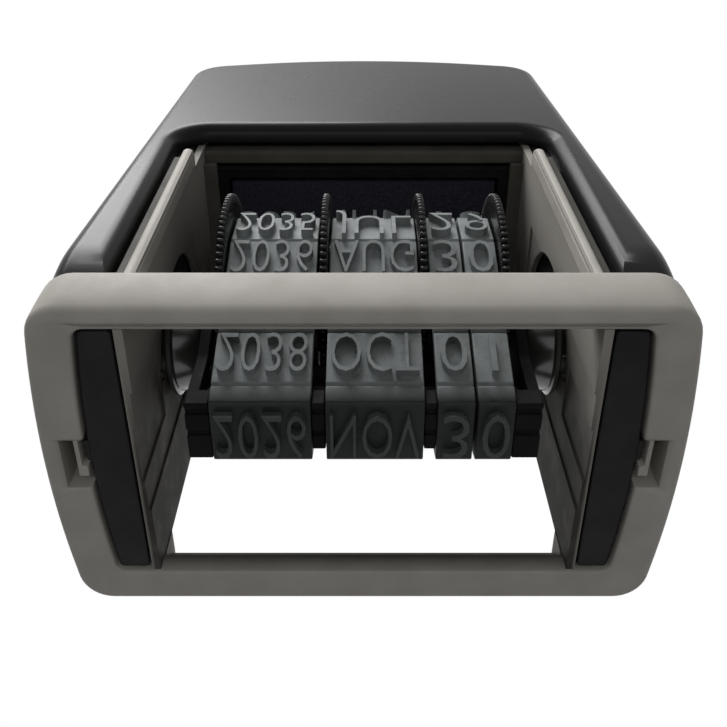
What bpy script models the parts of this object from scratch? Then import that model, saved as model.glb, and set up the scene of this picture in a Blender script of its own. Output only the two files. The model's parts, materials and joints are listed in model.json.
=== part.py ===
"""A self-inking mini date stamp, pressed down so that its date bands stand just over the paper.

Metres, +Z up, +X to the right, and the front faces -Y. The origin is on the paper, under the
middle of the foot. The cover slides up on the foot frame. The date unit hangs in the cover on two
hubs and turns over as the cover rises, guided by a peg on each hub that runs in a curved groove.
"""

import math

import bmesh
import bpy
from mathutils import Vector

MM = 0.001

# Clearances
SEAT_GAP = 0.3 * MM
RUNNING_GAP = 0.15 * MM
EMBED = 0.4 * MM
OVERRUN = 3.0 * MM
FACE_STEP = 0.05 * MM

# Foot ring
FOOT_WIDTH = 42.2 * MM
FOOT_DEPTH = 24.5 * MM
FOOT_HEIGHT = 4.6 * MM
FOOT_SIDE_RADIUS = 85.0 * MM
FOOT_CORNER_RADIUS = 2.4 * MM
FOOT_BOTTOM_ROUND = 1.1 * MM
FOOT_TOP_ROUND = 0.5 * MM
FOOT_FRONT_BAR = 1.7 * MM
FOOT_REAR_BAR = 2.9 * MM
FOOT_SIDE_BAR = 3.0 * MM
FOOT_OPENING_SIDE_RADIUS = 77.0 * MM
FOOT_OPENING_CORNER_RADIUS = 0.8 * MM
FOOT_OPENING_ROUND = 0.3 * MM
REAR_FLANGE_HEIGHT = 1.7 * MM
REAR_RIM_DEPTH = 1.0 * MM
REAR_RIM_HEIGHT = 3.9 * MM

# Side walls, posts and top of the foot frame
WALL_THICKNESS = 0.6 * MM
WALL_FOOT_LIFT = 0.3 * MM
WALL_REAR_SETBACK = 2.6 * MM
POST_SETBACK = 0.35 * MM
POST_DEPTH = 1.4 * MM
POST_NOSE_WIDTH = 0.9 * MM
POST_FLANGE_WIDTH = 1.05 * MM
POST_FLANGE_SETBACK = 0.7 * MM
POST_TOP_Z = 29.0 * MM
POST_EDGE_ROUND = 0.35 * MM
REAR_POST_DEPTH = 0.8 * MM
REAR_POST_INSET = 0.25 * MM
WALL_STEP_Z = 33.0 * MM
WALL_UPPER_SETBACK = 2.05 * MM
CROSSBAR_SETBACK = 2.4 * MM
CROSSBAR_DEPTH = 1.2 * MM
CROSSBAR_Z = 33.3 * MM
CROSSBAR_HEIGHT = 3.6 * MM
LEDGE_WIDTH = 1.15 * MM
LEDGE_HEIGHT = 0.7 * MM
DECK_THICKNESS = 1.4 * MM
DECK_RIB_HEIGHT = 1.2 * MM
DECK_RIB_THICKNESS = 0.9 * MM
DECK_RIB_SHARES = (0.457, 0.72)
REAR_BAR_DEPTH = 1.1 * MM

# Catch notches in the sides of the foot ring
NOTCH_SETBACK = 9.9 * MM
NOTCH_LENGTH = 3.9 * MM
NOTCH_REACH = 1.55 * MM
KEEPER_THICKNESS = 0.3 * MM
KEEPER_OFFSET = 0.35 * MM
KEEPER_LENGTH = 3.0 * MM
KEEPER_LUG = 0.8 * MM
CATCH_THICKNESS = 0.3 * MM
CATCH_LENGTH = 1.6 * MM
CATCH_RIDGE = 0.15 * MM
CATCH_RIDGE_COUNT = 3

# Date unit and its swing
PIVOT_SETBACK = 10.0 * MM
PIVOT_Z = 13.0 * MM
COVER_TRAVEL = 7.0 * MM
PRINT_FACE_Z = 1.0 * MM
CHARACTER_HEIGHT = 0.6 * MM
WHEEL_AXIS_Z = 18.0 * MM
HUB_RADIUS = 4.3 * MM
HUB_RIM = 0.5 * MM
HUB_RIM_DEPTH = 0.35 * MM
PIN_RADIUS = 1.0 * MM
PIN_REACH = 1.5 * MM
PEG_RADIUS = 0.6 * MM
PEG_ORBIT = 3.6 * MM

# Steps in the inner faces of the side walls
RECESS_SETBACK = 6.5 * MM
RECESS_LENGTH = 9.6 * MM
RECESS_DEPTH = 0.15 * MM
RECESS_TOP_Z = 26.0 * MM
CHANNEL_SETBACK = 9.3 * MM
CHANNEL_LENGTH = 4.3 * MM
CHANNEL_DEPTH = 0.3 * MM
CHANNEL_TOP_Z = 8.0 * MM

# Cheeks of the date unit
HUB_ROOM = 3.5 * MM
CHEEK_THICKNESS = 0.8 * MM
CHEEK_FOOT_Z = 3.1 * MM
CHEEK_FOOT_HALF = 1.6 * MM
CHEEK_FOOT_ROUND = 0.5 * MM
CHEEK_NECK_Z = 7.6 * MM
CHEEK_BODY_Z = 10.5 * MM
CHEEK_HEAD_RADIUS = 2.6 * MM
AXLE_RADIUS = 1.4 * MM
TIE_ROD_RADIUS = 0.8 * MM
TIE_ROD_Z = 7.6 * MM

# Date bands, as shares of the half width between the cheeks
BAND_SHARES = ((-0.909, -0.311), (-0.224, 0.361), (0.438, 0.657), (0.676, 0.895))
BAND_THICKNESS = 1.0 * MM
BAND_WRAP_RADIUS = 7.2 * MM
BAND_CORNER = 1.6 * MM
PRINT_FACE_DEPTH = 4.6 * MM
BAND_GROOVE_WIDTH = 0.3 * MM
BAND_GROOVE_DEPTH = 0.3 * MM
RUN_FACETS = 3
WRAP_FACETS = 6

# Thumb wheels: each disc stands to the left or right of its band
DISC_SIDES = (-1, -1, -1, 1)
DISC_RADIUS = 9.0 * MM
DISC_THICKNESS = 0.6 * MM
DISC_TEETH = 96
TOOTH_DEPTH = 0.5 * MM
TOOTH_TOP_SHARE = 0.4
TOOTH_ROOT_SHARE = 0.30
DRUM_RADIUS = 5.4 * MM

# Print bridge between the cheeks
BRIDGE_CORE_HALF = 0.95 * MM
BRIDGE_CORE_HEIGHT = 2.6 * MM
BRIDGE_COMB_HEIGHT = 1.7 * MM
BRIDGE_COMB_INSET = 0.1 * MM
BRIDGE_GROOVE_WIDTH = 0.45 * MM
BRIDGE_GROOVE_DEPTH = 0.3 * MM
BRIDGE_GROOVE_SHARES = (0.15, 0.53)
BRIDGE_END_REACH = 0.65 * MM

# Cover
COVER_SETBACK = 0.25 * MM
COVER_SIDE_STEP = 0.8 * MM
COVER_TAPER = 2.1 * MM
COVER_SHOULDER_Z = 55.2 * MM
COVER_CROWN_RISE = 4.0 * MM
COVER_CROWN_SHARE = 0.7
COVER_SHOULDER_RADIUS = 4.0 * MM
COVER_EDGE_ROUND = 1.2 * MM
COVER_TUCK = 0.8 * MM
COVER_TUCK_HEIGHT = 4.2 * MM
COVER_SIDE_WALL = 1.6 * MM
COVER_PLATE = 1.5 * MM
COVER_ROOF = 1.9 * MM
COVER_WINDOW_TOP = 34.2 * MM
COVER_WINDOW_ROUND = 0.8 * MM
COVER_REAR_WINDOW_TOP = 38.4 * MM
COVER_WINDOW_CORNER = 3.0 * MM
LEG_THICKNESS = 2.9 * MM
LEG_GAP = 0.2 * MM
LEG_FRONT_GAP = 0.25 * MM
LEG_TOP_Z = 48.0 * MM
LEG_FOOT_LIFT = 0.3 * MM
LEG_CORNER = 0.3 * MM
SPRING_CUP_HEIGHT = 2.4 * MM
SPRING_CUP_RECESS = 0.6 * MM
SPRING_CUP_WALL = 0.8 * MM

# Ink tray and pad
TRAY_FOOT_INSET = 0.4 * MM
TRAY_TOP_THICKNESS = 1.2 * MM
TRAY_GRIP_DEPTH = 1.6 * MM
TRAY_GRIP_HEIGHT = 0.9 * MM
TRAY_REAR_SETBACK = 1.8 * MM
PAD_THICKNESS = 3.0 * MM
PAD_SIDE_MARGIN = 2.05 * MM
PAD_FRONT_MARGIN = 1.4 * MM
PAD_REAR_MARGIN = 4.4 * MM
PAD_CORNER = 0.5 * MM

# Return spring
SPRING_RADIUS = 3.4 * MM
SPRING_WIRE_RADIUS = 0.4 * MM
SPRING_TURNS = 7
SPRING_POINTS_PER_TURN = 10
SPRING_POST_RADIUS = 2.4 * MM
SPRING_POST_HEIGHT = 1.6 * MM

# Finishes: colour, roughness and metallic value
GREY_PLASTIC = ((0.42, 0.40, 0.36), 0.45, 0.0)
GLOSS_PLASTIC = ((0.012, 0.012, 0.012), 0.18, 0.0)
SATIN_PLASTIC = ((0.02, 0.02, 0.02), 0.38, 0.0)
BAND_RUBBER = ((0.16, 0.18, 0.18), 0.6, 0.0)
INKED_FELT = ((0.02, 0.02, 0.03), 0.9, 0.0)
SPRING_STEEL = ((0.5, 0.5, 0.5), 0.3, 1.0)
SHARP_ANGLE = 30

# Steps on round outlines
CORNER_STEPS = 4
EDGE_STEPS = 3
SIDE_STEPS = 6
ROUND_STEPS = 28
GROOVE_STEPS = 14
GROOVE_END_SHARE = 0.1

# Places worked out from the sizes above
FRONT_Y = -FOOT_DEPTH / 2
PIVOT_Y = FRONT_Y + PIVOT_SETBACK
OPENING_HALF = FOOT_WIDTH / 2 - FOOT_SIDE_BAR
OPENING_FRONT_Y = FRONT_Y + FOOT_FRONT_BAR
OPENING_REAR_Y = -FRONT_Y - FOOT_REAR_BAR
LEG_INNER_X = OPENING_HALF - LEG_THICKNESS
WALL_OUTER_X = LEG_INNER_X - RUNNING_GAP
WALL_INNER_X = WALL_OUTER_X - WALL_THICKNESS
WALL_REAR_Y = -FRONT_Y - WALL_REAR_SETBACK
POST_OUTER_X = WALL_OUTER_X + POST_FLANGE_WIDTH
CHEEK_INNER_X = WALL_INNER_X - HUB_ROOM
BAND_EDGES = [(left * CHEEK_INNER_X, right * CHEEK_INNER_X) for left, right in BAND_SHARES]
TYPE_REACH = PIVOT_Z - PRINT_FACE_Z + CHARACTER_HEIGHT
PAD_FACE_Z = PIVOT_Z + COVER_TRAVEL + TYPE_REACH + SEAT_GAP
TRAY_BOTTOM_Z = PAD_FACE_Z + TRAY_FOOT_INSET
LEDGE_Z = TRAY_BOTTOM_Z - SEAT_GAP - LEDGE_HEIGHT
TRAY_TOP_Z = PAD_FACE_Z + PAD_THICKNESS + SEAT_GAP + TRAY_TOP_THICKNESS
DECK_Z = TRAY_TOP_Z + SEAT_GAP
DECK_TOP_Z = DECK_Z + DECK_THICKNESS
LEG_OUTER_X = OPENING_HALF - LEG_GAP
LEG_FRONT_Y = OPENING_FRONT_Y + LEG_FRONT_GAP
LEG_REAR_Y = OPENING_REAR_Y - LEG_FRONT_GAP
POST_FRONT_Y = FRONT_Y + POST_SETBACK
WALL_UPPER_Y = FRONT_Y + WALL_UPPER_SETBACK
COVER_HALF_DEPTH = FOOT_DEPTH / 2 - COVER_SETBACK
COVER_FOOT_Z = FOOT_HEIGHT + SEAT_GAP
COVER_FOOT_HALF = FOOT_WIDTH / 2 - COVER_SIDE_STEP
COVER_WINDOW_HALF = POST_OUTER_X + SEAT_GAP
HUB_OUTER_X = WALL_INNER_X - RUNNING_GAP
HUB_INNER_X = CHEEK_INNER_X + CHEEK_THICKNESS + SEAT_GAP
TRAY_HALF = WALL_INNER_X - SEAT_GAP
TRAY_FRONT_Y = FRONT_Y + CROSSBAR_SETBACK + CROSSBAR_DEPTH + SEAT_GAP
TRAY_REAR_Y = -FRONT_Y - TRAY_REAR_SETBACK
PAD_HALF = TRAY_HALF - PAD_SIDE_MARGIN
PAD_FRONT_Y = TRAY_FRONT_Y + PAD_FRONT_MARGIN
PAD_REAR_Y = TRAY_REAR_Y - PAD_REAR_MARGIN


def own_material(name, finish):
    """A material of the object's own, from a finish: colour, roughness and metallic value."""
    colour, roughness, metallic = finish
    made = bpy.data.materials.new(name + "_finish")
    made.use_nodes = True
    shader = made.node_tree.nodes["Principled BSDF"]
    shader.inputs["Base Color"].default_value = (*colour, 1.0)
    shader.inputs["Roughness"].default_value = roughness
    shader.inputs["Metallic"].default_value = metallic
    return made


def add_object(name, shape, finish):
    """One object from a bmesh, with its normals outside and its round faces smooth."""
    bmesh.ops.recalc_face_normals(shape, faces=shape.faces)
    mesh = bpy.data.meshes.new(name)
    shape.to_mesh(mesh)
    shape.free()
    made = bpy.data.objects.new(name, mesh)
    bpy.context.scene.collection.objects.link(made)
    if finish is not None:
        mesh.materials.append(own_material(name, finish))
    mesh.shade_smooth()
    mesh.set_sharp_from_angle(angle=math.radians(SHARP_ANGLE))
    return made


def rounded(corners, radii, steps=CORNER_STEPS):
    """A closed outline whose corners are arcs of these radii."""
    points = []
    count = len(corners)
    for index, corner in enumerate(corners):
        here = Vector(corner)
        before = (Vector(corners[index - 1]) - here).normalized()
        after = (Vector(corners[(index + 1) % count]) - here).normalized()
        radius = radii[index]
        if radius <= 0:
            points.append(here)
            continue
        half_angle = before.angle(after) / 2
        middle = here + (before + after).normalized() * (radius / math.sin(half_angle))
        start = here + before * (radius / math.tan(half_angle)) - middle
        finish = here + after * (radius / math.tan(half_angle)) - middle
        for step in range(steps + 1):
            share = step / steps
            arm = (start * (1 - share) + finish * share).normalized()
            points.append(middle + arm * radius)
    return points


def circle(centre, radius, steps=ROUND_STEPS):
    """A full circle as a closed outline."""
    turns = [math.tau * step / steps for step in range(steps)]
    return [Vector((centre[0] + radius * math.cos(t), centre[1] + radius * math.sin(t))) for t in turns]


def barrel(half_width, low_y, high_y, side_radius, corner_radius):
    """A rounded oblong whose two long sides bow outwards on a large radius."""
    half_depth = (high_y - low_y) / 2
    middle_y = (high_y + low_y) / 2
    side_centre = half_width - side_radius
    reach = math.asin((half_depth - corner_radius) / (side_radius - corner_radius))
    corner_x = side_centre + (side_radius - corner_radius) * math.cos(reach)
    corner_y = half_depth - corner_radius
    quarter = []
    for step in range(SIDE_STEPS):
        turn = reach * step / SIDE_STEPS
        quarter.append((side_centre + side_radius * math.cos(turn), side_radius * math.sin(turn)))
    for step in range(CORNER_STEPS + 2):
        turn = reach + (math.pi / 2 - reach) * step / (CORNER_STEPS + 1)
        quarter.append((corner_x + corner_radius * math.cos(turn), corner_y + corner_radius * math.sin(turn)))
    upper = quarter + [(-x, y) for x, y in reversed(quarter)]
    lower = [(-x, -y) for x, y in upper[1:-1]]
    return [Vector((x, y + middle_y)) for x, y in upper + lower]


def prism(outline, low, high, along):
    """A closed prism of this outline along X, Y or Z, from low to high."""
    place = {
        "X": lambda point, depth: (depth, point[0], point[1]),
        "Y": lambda point, depth: (point[0], depth, point[1]),
        "Z": lambda point, depth: (point[0], point[1], depth),
    }[along]
    shape = bmesh.new()
    base = shape.faces.new([shape.verts.new(place(point, low)) for point in outline])
    grown = bmesh.ops.extrude_face_region(shape, geom=[base])
    new_verts = [item for item in grown["geom"] if isinstance(item, bmesh.types.BMVert)]
    shift = Vector(place((0, 0), high - low))
    bmesh.ops.translate(shape, verts=new_verts, vec=shift)
    return shape


def oblong(x_range, y_range, z_range, edge=0):
    """A box between these limits, with its upright edges rounded."""
    corners = [(x, y) for x, y in (
        (x_range[0], y_range[0]), (x_range[1], y_range[0]), (x_range[1], y_range[1]), (x_range[0], y_range[1])
    )]
    return prism(rounded(corners, [edge] * len(corners), 2), z_range[0], z_range[1], "Z")


def quarter_round(radius):
    """A quarter round as pairs of inset and depth, from the side face to the end face."""
    turns = [math.pi / 2 * step / EDGE_STEPS for step in range(EDGE_STEPS + 1)]
    return [(radius * (1 - math.cos(turn)), radius * (1 - math.sin(turn))) for turn in turns]


def skin(shape, rings):
    """Joins each ring to the next one by faces. The ends stay open."""
    for first, second in zip(rings, rings[1:]):
        count = len(first)
        for step in range(count):
            ahead = (step + 1) % count
            shape.faces.new((first[step], first[ahead], second[ahead], second[step]))


def close_level(shape, ring):
    """Closes a ring that is alike left and right by flat level strips from side to side."""
    last = len(ring) - 1
    for step in range(last // 2):
        strip = [ring[step], ring[step + 1], ring[last - step - 1], ring[last - step]]
        shape.faces.new(strip if step + 1 != last - step - 1 else strip[:2] + strip[3:])


def combine(target, tool_shape, operation):
    """Joins a shape to the target or cuts it away, and keeps the tool as a hidden wire."""
    tool = add_object(target.name + "_tool", tool_shape, None)
    tool.hide_render = True
    tool.display_type = "WIRE"
    modifier = target.modifiers.new(operation.title(), "BOOLEAN")
    modifier.operation = operation
    modifier.solver = "EXACT"
    modifier.object = tool


def join(target, tool_shape):
    combine(target, tool_shape, "UNION")


def cut(target, tool_shape):
    combine(target, tool_shape, "DIFFERENCE")


def across(side, near, far):
    """The x range from near to far on the left (-1) or right (+1) side, low value first."""
    return tuple(sorted((side * near, side * far)))


def stadium(centre_y, low_z, high_z, half_width):
    """An upright slot with round ends, whose end centres are at low_z and high_z."""
    points = []
    for step in range(ROUND_STEPS // 2 + 1):
        turn = math.tau * step / ROUND_STEPS
        points.append(Vector((centre_y + half_width * math.cos(turn), high_z + half_width * math.sin(turn))))
    for step in range(ROUND_STEPS // 2 + 1):
        turn = math.pi + math.tau * step / ROUND_STEPS
        points.append(Vector((centre_y + half_width * math.cos(turn), low_z + half_width * math.sin(turn))))
    return points


def peg_place(share):
    """Where the peg is, in the plane of the wall, when the unit has turned this share of half a turn."""
    turn = math.pi * share
    return Vector((
        PIVOT_Y - PEG_ORBIT * math.sin(turn),
        PIVOT_Z + COVER_TRAVEL * share - PEG_ORBIT * math.cos(turn),
    ))


def peg_groove():
    """The groove that the peg runs in, as a band of one width along the peg's path."""
    half_width = PEG_RADIUS + SEAT_GAP
    left, right = [], []
    for step in range(GROOVE_STEPS + 1):
        share = (1 + 2 * GROOVE_END_SHARE) * step / GROOVE_STEPS - GROOVE_END_SHARE
        along = (peg_place(share + GROOVE_END_SHARE) - peg_place(share - GROOVE_END_SHARE)).normalized()
        normal = Vector((-along.y, along.x))
        left.append(peg_place(share) + normal * half_width)
        right.append(peg_place(share) - normal * half_width)
    return left + right[::-1]


def ring_shape():
    """The foot ring, with its outer and inner edges rounded."""
    half = FOOT_WIDTH / 2
    shape = bmesh.new()

    def outer(inset, z):
        outline = barrel(
            half - inset, FRONT_Y + inset, -FRONT_Y - inset,
            FOOT_SIDE_RADIUS - inset, FOOT_CORNER_RADIUS - inset,
        )
        return [shape.verts.new((*point, z)) for point in outline]

    def inner(inset, z):
        outline = barrel(
            OPENING_HALF + inset, OPENING_FRONT_Y - inset, OPENING_REAR_Y + inset,
            FOOT_OPENING_SIDE_RADIUS + inset, FOOT_OPENING_CORNER_RADIUS + inset,
        )
        return [shape.verts.new((*point, z)) for point in outline]

    rings = [outer(inset, depth) for inset, depth in quarter_round(FOOT_BOTTOM_ROUND)[::-1]]
    rings += [outer(inset, FOOT_HEIGHT - depth) for inset, depth in quarter_round(FOOT_TOP_ROUND)]
    rings.append(inner(0, FOOT_HEIGHT))
    rings += [inner(inset, depth) for inset, depth in quarter_round(FOOT_OPENING_ROUND)]
    skin(shape, rings + rings[:1])
    return shape


def make_foot_frame(finish):
    frame = add_object("foot_frame", ring_shape(), finish)
    add_rear_relief(frame)
    for side in (-1, 1):
        add_notch(frame, side)
        add_side(frame, side)
    add_crossbar_and_deck(frame)
    for side in (-1, 1):
        cut_hub_track(frame, side)
    return frame


def add_rear_relief(frame):
    """The rear bar is a low flange with a thin rim behind it."""
    rim_y = -FRONT_Y - REAR_RIM_DEPTH
    for y_range, floor in (
        ((OPENING_REAR_Y - OVERRUN, rim_y), REAR_FLANGE_HEIGHT),
        ((rim_y - EMBED, -FRONT_Y + OVERRUN), REAR_RIM_HEIGHT),
    ):
        cut(frame, oblong((-WALL_INNER_X, WALL_INNER_X), y_range, (floor, FOOT_HEIGHT + OVERRUN)))


def add_notch(frame, side):
    """The notch for the cover's catch, with the thin L-shaped keeper that stands in it."""
    low_y = FRONT_Y + NOTCH_SETBACK
    cut(frame, oblong(
        across(side, OPENING_HALF - EMBED, OPENING_HALF + NOTCH_REACH), (low_y, low_y + NOTCH_LENGTH),
        (-OVERRUN, FOOT_HEIGHT + OVERRUN),
    ))
    near = OPENING_HALF + KEEPER_OFFSET
    lug = OPENING_HALF + FACE_STEP
    outline = [
        (near, low_y - EMBED), (near + KEEPER_THICKNESS, low_y - EMBED),
        (near + KEEPER_THICKNESS, low_y + KEEPER_LENGTH), (lug, low_y + KEEPER_LENGTH),
        (lug, low_y + KEEPER_LENGTH - KEEPER_LUG), (near, low_y + KEEPER_LENGTH - KEEPER_LUG),
    ]
    join(frame, prism([(side * x, y) for x, y in outline], FOOT_OPENING_ROUND, FOOT_HEIGHT - FACE_STEP, "Z"))


def add_side(frame, side):
    """One side wall with its front and rear posts and the ledge that the ink tray runs on."""
    join(frame, oblong(
        across(side, WALL_INNER_X, WALL_OUTER_X), (POST_FRONT_Y + FACE_STEP, WALL_REAR_Y),
        (WALL_FOOT_LIFT, WALL_STEP_Z),
    ))
    join(frame, oblong(
        across(side, WALL_INNER_X, WALL_OUTER_X), (WALL_UPPER_Y, WALL_REAR_Y),
        (WALL_STEP_Z - EMBED, DECK_TOP_Z),
    ))
    low_z = FOOT_HEIGHT - EMBED
    rear_y = POST_FRONT_Y + POST_DEPTH
    join(frame, oblong(
        across(side, WALL_INNER_X + FACE_STEP, WALL_INNER_X + POST_NOSE_WIDTH), (POST_FRONT_Y, rear_y),
        (low_z, POST_TOP_Z), POST_EDGE_ROUND,
    ))
    join(frame, oblong(
        across(side, WALL_OUTER_X - FACE_STEP, POST_OUTER_X),
        (POST_FRONT_Y + POST_FLANGE_SETBACK, rear_y - FACE_STEP), (low_z - FACE_STEP, POST_TOP_Z - FACE_STEP),
    ))
    join(frame, oblong(
        across(side, WALL_OUTER_X - REAR_POST_INSET, POST_OUTER_X),
        (OPENING_REAR_Y, OPENING_REAR_Y + REAR_POST_DEPTH), (low_z, POST_TOP_Z),
    ))
    join(frame, oblong(
        across(side, WALL_INNER_X - LEDGE_WIDTH, WALL_INNER_X + EMBED),
        (TRAY_FRONT_Y - EMBED, WALL_REAR_Y - EMBED), (LEDGE_Z, LEDGE_Z + LEDGE_HEIGHT),
    ))


def add_crossbar_and_deck(frame):
    """The front crossbar, the rear bar under the tray, and the deck with its ribs and spring post."""
    half = WALL_INNER_X + WALL_THICKNESS / 2
    low_y = FRONT_Y + CROSSBAR_SETBACK
    bar_outline = [
        (low_y, CROSSBAR_Z), (low_y + CROSSBAR_DEPTH, CROSSBAR_Z),
        (low_y + CROSSBAR_DEPTH, CROSSBAR_Z + CROSSBAR_HEIGHT), (low_y, CROSSBAR_Z + CROSSBAR_HEIGHT),
    ]
    join(frame, prism(rounded(bar_outline, [POST_EDGE_ROUND] * 4, 2), -half, half, "X"))
    join(frame, oblong(
        (-half, half), (low_y + FACE_STEP, WALL_REAR_Y - FACE_STEP), (DECK_Z, DECK_TOP_Z - 2 * FACE_STEP),
    ))
    bar_top = PAD_FACE_Z - SEAT_GAP
    join(frame, oblong(
        (-half, half), (WALL_REAR_Y - REAR_BAR_DEPTH, WALL_REAR_Y - FACE_STEP),
        (bar_top - LEDGE_HEIGHT, bar_top),
    ))
    post = circle((0, 0), SPRING_POST_RADIUS, ROUND_STEPS // 2)
    join(frame, prism(post, DECK_TOP_Z - EMBED, DECK_TOP_Z + SPRING_POST_HEIGHT, "Z"))
    for side in (-1, 1):
        for share in DECK_RIB_SHARES:
            place = share * WALL_INNER_X
            join(frame, oblong(
                across(side, place, place + DECK_RIB_THICKNESS), (low_y + EMBED, WALL_REAR_Y - EMBED),
                (DECK_TOP_Z - EMBED, DECK_TOP_Z + DECK_RIB_HEIGHT),
            ))


def cut_hub_track(frame, side):
    """The shallow steps in the wall's inner face, the slot for the pin and the curved slot for the peg."""
    start = WALL_INNER_X - OVERRUN / 2
    for setback, length, depth, top_z in (
        (RECESS_SETBACK, RECESS_LENGTH, RECESS_DEPTH, RECESS_TOP_Z),
        (CHANNEL_SETBACK, CHANNEL_LENGTH, CHANNEL_DEPTH, CHANNEL_TOP_Z),
    ):
        low_y = FRONT_Y + setback
        cut(frame, oblong(
            across(side, start, WALL_INNER_X + depth), (low_y, low_y + length), (-OVERRUN, top_z),
        ))
    low, high = across(side, start, WALL_OUTER_X + OVERRUN / 3)
    half = PIN_RADIUS + SEAT_GAP
    cut(frame, prism(stadium(PIVOT_Y, PIVOT_Z, PIVOT_Z + COVER_TRAVEL, half + FACE_STEP), low, high, "X"))
    cut(frame, prism(peg_groove(), low, high, "X"))


def cover_side_x(z):
    """Half the cover's width at this height."""
    return COVER_FOOT_HALF - COVER_TAPER * (z - COVER_FOOT_Z) / (COVER_SHOULDER_Z - COVER_FOOT_Z)


def tuck(z):
    """How far the cover's front and rear faces draw in at this height, near its lower edge."""
    share = max(0, 1 - (z - COVER_FOOT_Z) / COVER_TUCK_HEIGHT)
    return COVER_TUCK * share ** 2


def crown(half, shoulder_z):
    """The radius of the arched top between two shoulders, and the height of its middle."""
    run = math.hypot(half, COVER_CROWN_RISE)
    radius = COVER_CROWN_SHARE * run * half / COVER_CROWN_RISE
    return radius, shoulder_z + COVER_CROWN_RISE - radius * (run / half - 1)


def cover_outline(inset):
    """The cover's front outline: straight tapered sides, round shoulders and an arched top."""
    steps = [COVER_FOOT_Z + COVER_TUCK_HEIGHT * step / EDGE_STEPS for step in range(EDGE_STEPS + 1)]
    right = [(cover_side_x(z) - inset, z) for z in steps]
    shoulder = (cover_side_x(COVER_SHOULDER_Z) - inset, COVER_SHOULDER_Z - inset)
    left = [(-x, z) for x, z in [shoulder] + right[::-1]]
    soft = COVER_SHOULDER_RADIUS - inset
    flat = [0] * len(right)
    top = (0, shoulder[1] + COVER_CROWN_RISE)
    return rounded(
        right + [shoulder, top] + left, flat + [soft, crown(*shoulder)[0], soft] + flat, SIDE_STEPS
    )


def cover_shape():
    """The cover's solid outside, with its front and rear edges rounded."""
    shape = bmesh.new()
    front = [(inset, COVER_HALF_DEPTH - depth) for depth, inset in quarter_round(COVER_EDGE_ROUND)]
    sections = [(inset, -y) for inset, y in front] + [(inset, y) for inset, y in reversed(front)]
    rings = []
    for inset, y in sections:
        toward = 1 if y > 0 else -1
        ring = [
            shape.verts.new((point.x, y - toward * tuck(point.y), point.y)) for point in cover_outline(inset)
        ]
        rings.append(ring)
    skin(shape, rings)
    close_level(shape, rings[0])
    close_level(shape, rings[-1])
    return shape


def cavity_shoulder():
    """Where the hollow's sides meet its roof, as half its width and the height."""
    return cover_side_x(COVER_SHOULDER_Z) - COVER_SIDE_WALL, COVER_SHOULDER_Z - COVER_ROOF


def cavity_outline():
    """The hollow inside the cover, whose sides taper with it."""
    foot = COVER_FOOT_HALF - COVER_SIDE_WALL
    head, shoulder_z = cavity_shoulder()
    soft = COVER_SHOULDER_RADIUS - COVER_ROOF / 2
    return rounded(
        [
            (-foot, COVER_FOOT_Z - OVERRUN), (foot, COVER_FOOT_Z - OVERRUN), (head, shoulder_z),
            (0, shoulder_z + COVER_CROWN_RISE), (-head, shoulder_z),
        ],
        [0, 0, soft, crown(head, shoulder_z)[0], soft],
    )


def spring_head_z():
    """The floor of the cup under the roof that the return spring presses on."""
    return crown(*cavity_shoulder())[1] + SPRING_CUP_RECESS


def window_outline(top, grow):
    half = COVER_WINDOW_HALF + grow
    soft = COVER_WINDOW_CORNER + grow
    return rounded(
        [(-half, -OVERRUN), (half, -OVERRUN), (half, top + grow), (-half, top + grow)], [0, 0, soft, soft]
    )


def window_shape(top, side):
    """What is cut from the front (-1) or rear (1) plate, flared so that the window's edge is rolled."""
    shape = bmesh.new()
    sections = [(COVER_WINDOW_ROUND, COVER_HALF_DEPTH + OVERRUN)]
    sections += [(grow, COVER_HALF_DEPTH - depth) for depth, grow in quarter_round(COVER_WINDOW_ROUND)]
    sections.append((0, COVER_HALF_DEPTH - COVER_PLATE - EMBED))
    rings = [
        [shape.verts.new((point.x, side * y, point.y)) for point in window_outline(top, grow)]
        for grow, y in sections
    ]
    skin(shape, rings)
    shape.faces.new(rings[0])
    shape.faces.new(rings[-1])
    return shape


def leg_outline(side):
    """The slide leg seen from above: straight inside, and bowed outside like the foot ring's opening."""
    middle_y = (OPENING_FRONT_Y + OPENING_REAR_Y) / 2
    radius = FOOT_OPENING_SIDE_RADIUS - LEG_GAP
    points = [(LEG_INNER_X, LEG_REAR_Y), (LEG_INNER_X, LEG_FRONT_Y)]
    for step in range(SIDE_STEPS + 1):
        y = LEG_FRONT_Y + (LEG_REAR_Y - LEG_FRONT_Y) * step / SIDE_STEPS
        points.append((LEG_OUTER_X - radius + math.sqrt(radius ** 2 - (y - middle_y) ** 2), y))
    soft = [LEG_CORNER] * 3 + [0] * (SIDE_STEPS - 1) + [LEG_CORNER]
    return rounded([(side * x, y) for x, y in points], soft, 2)


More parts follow.
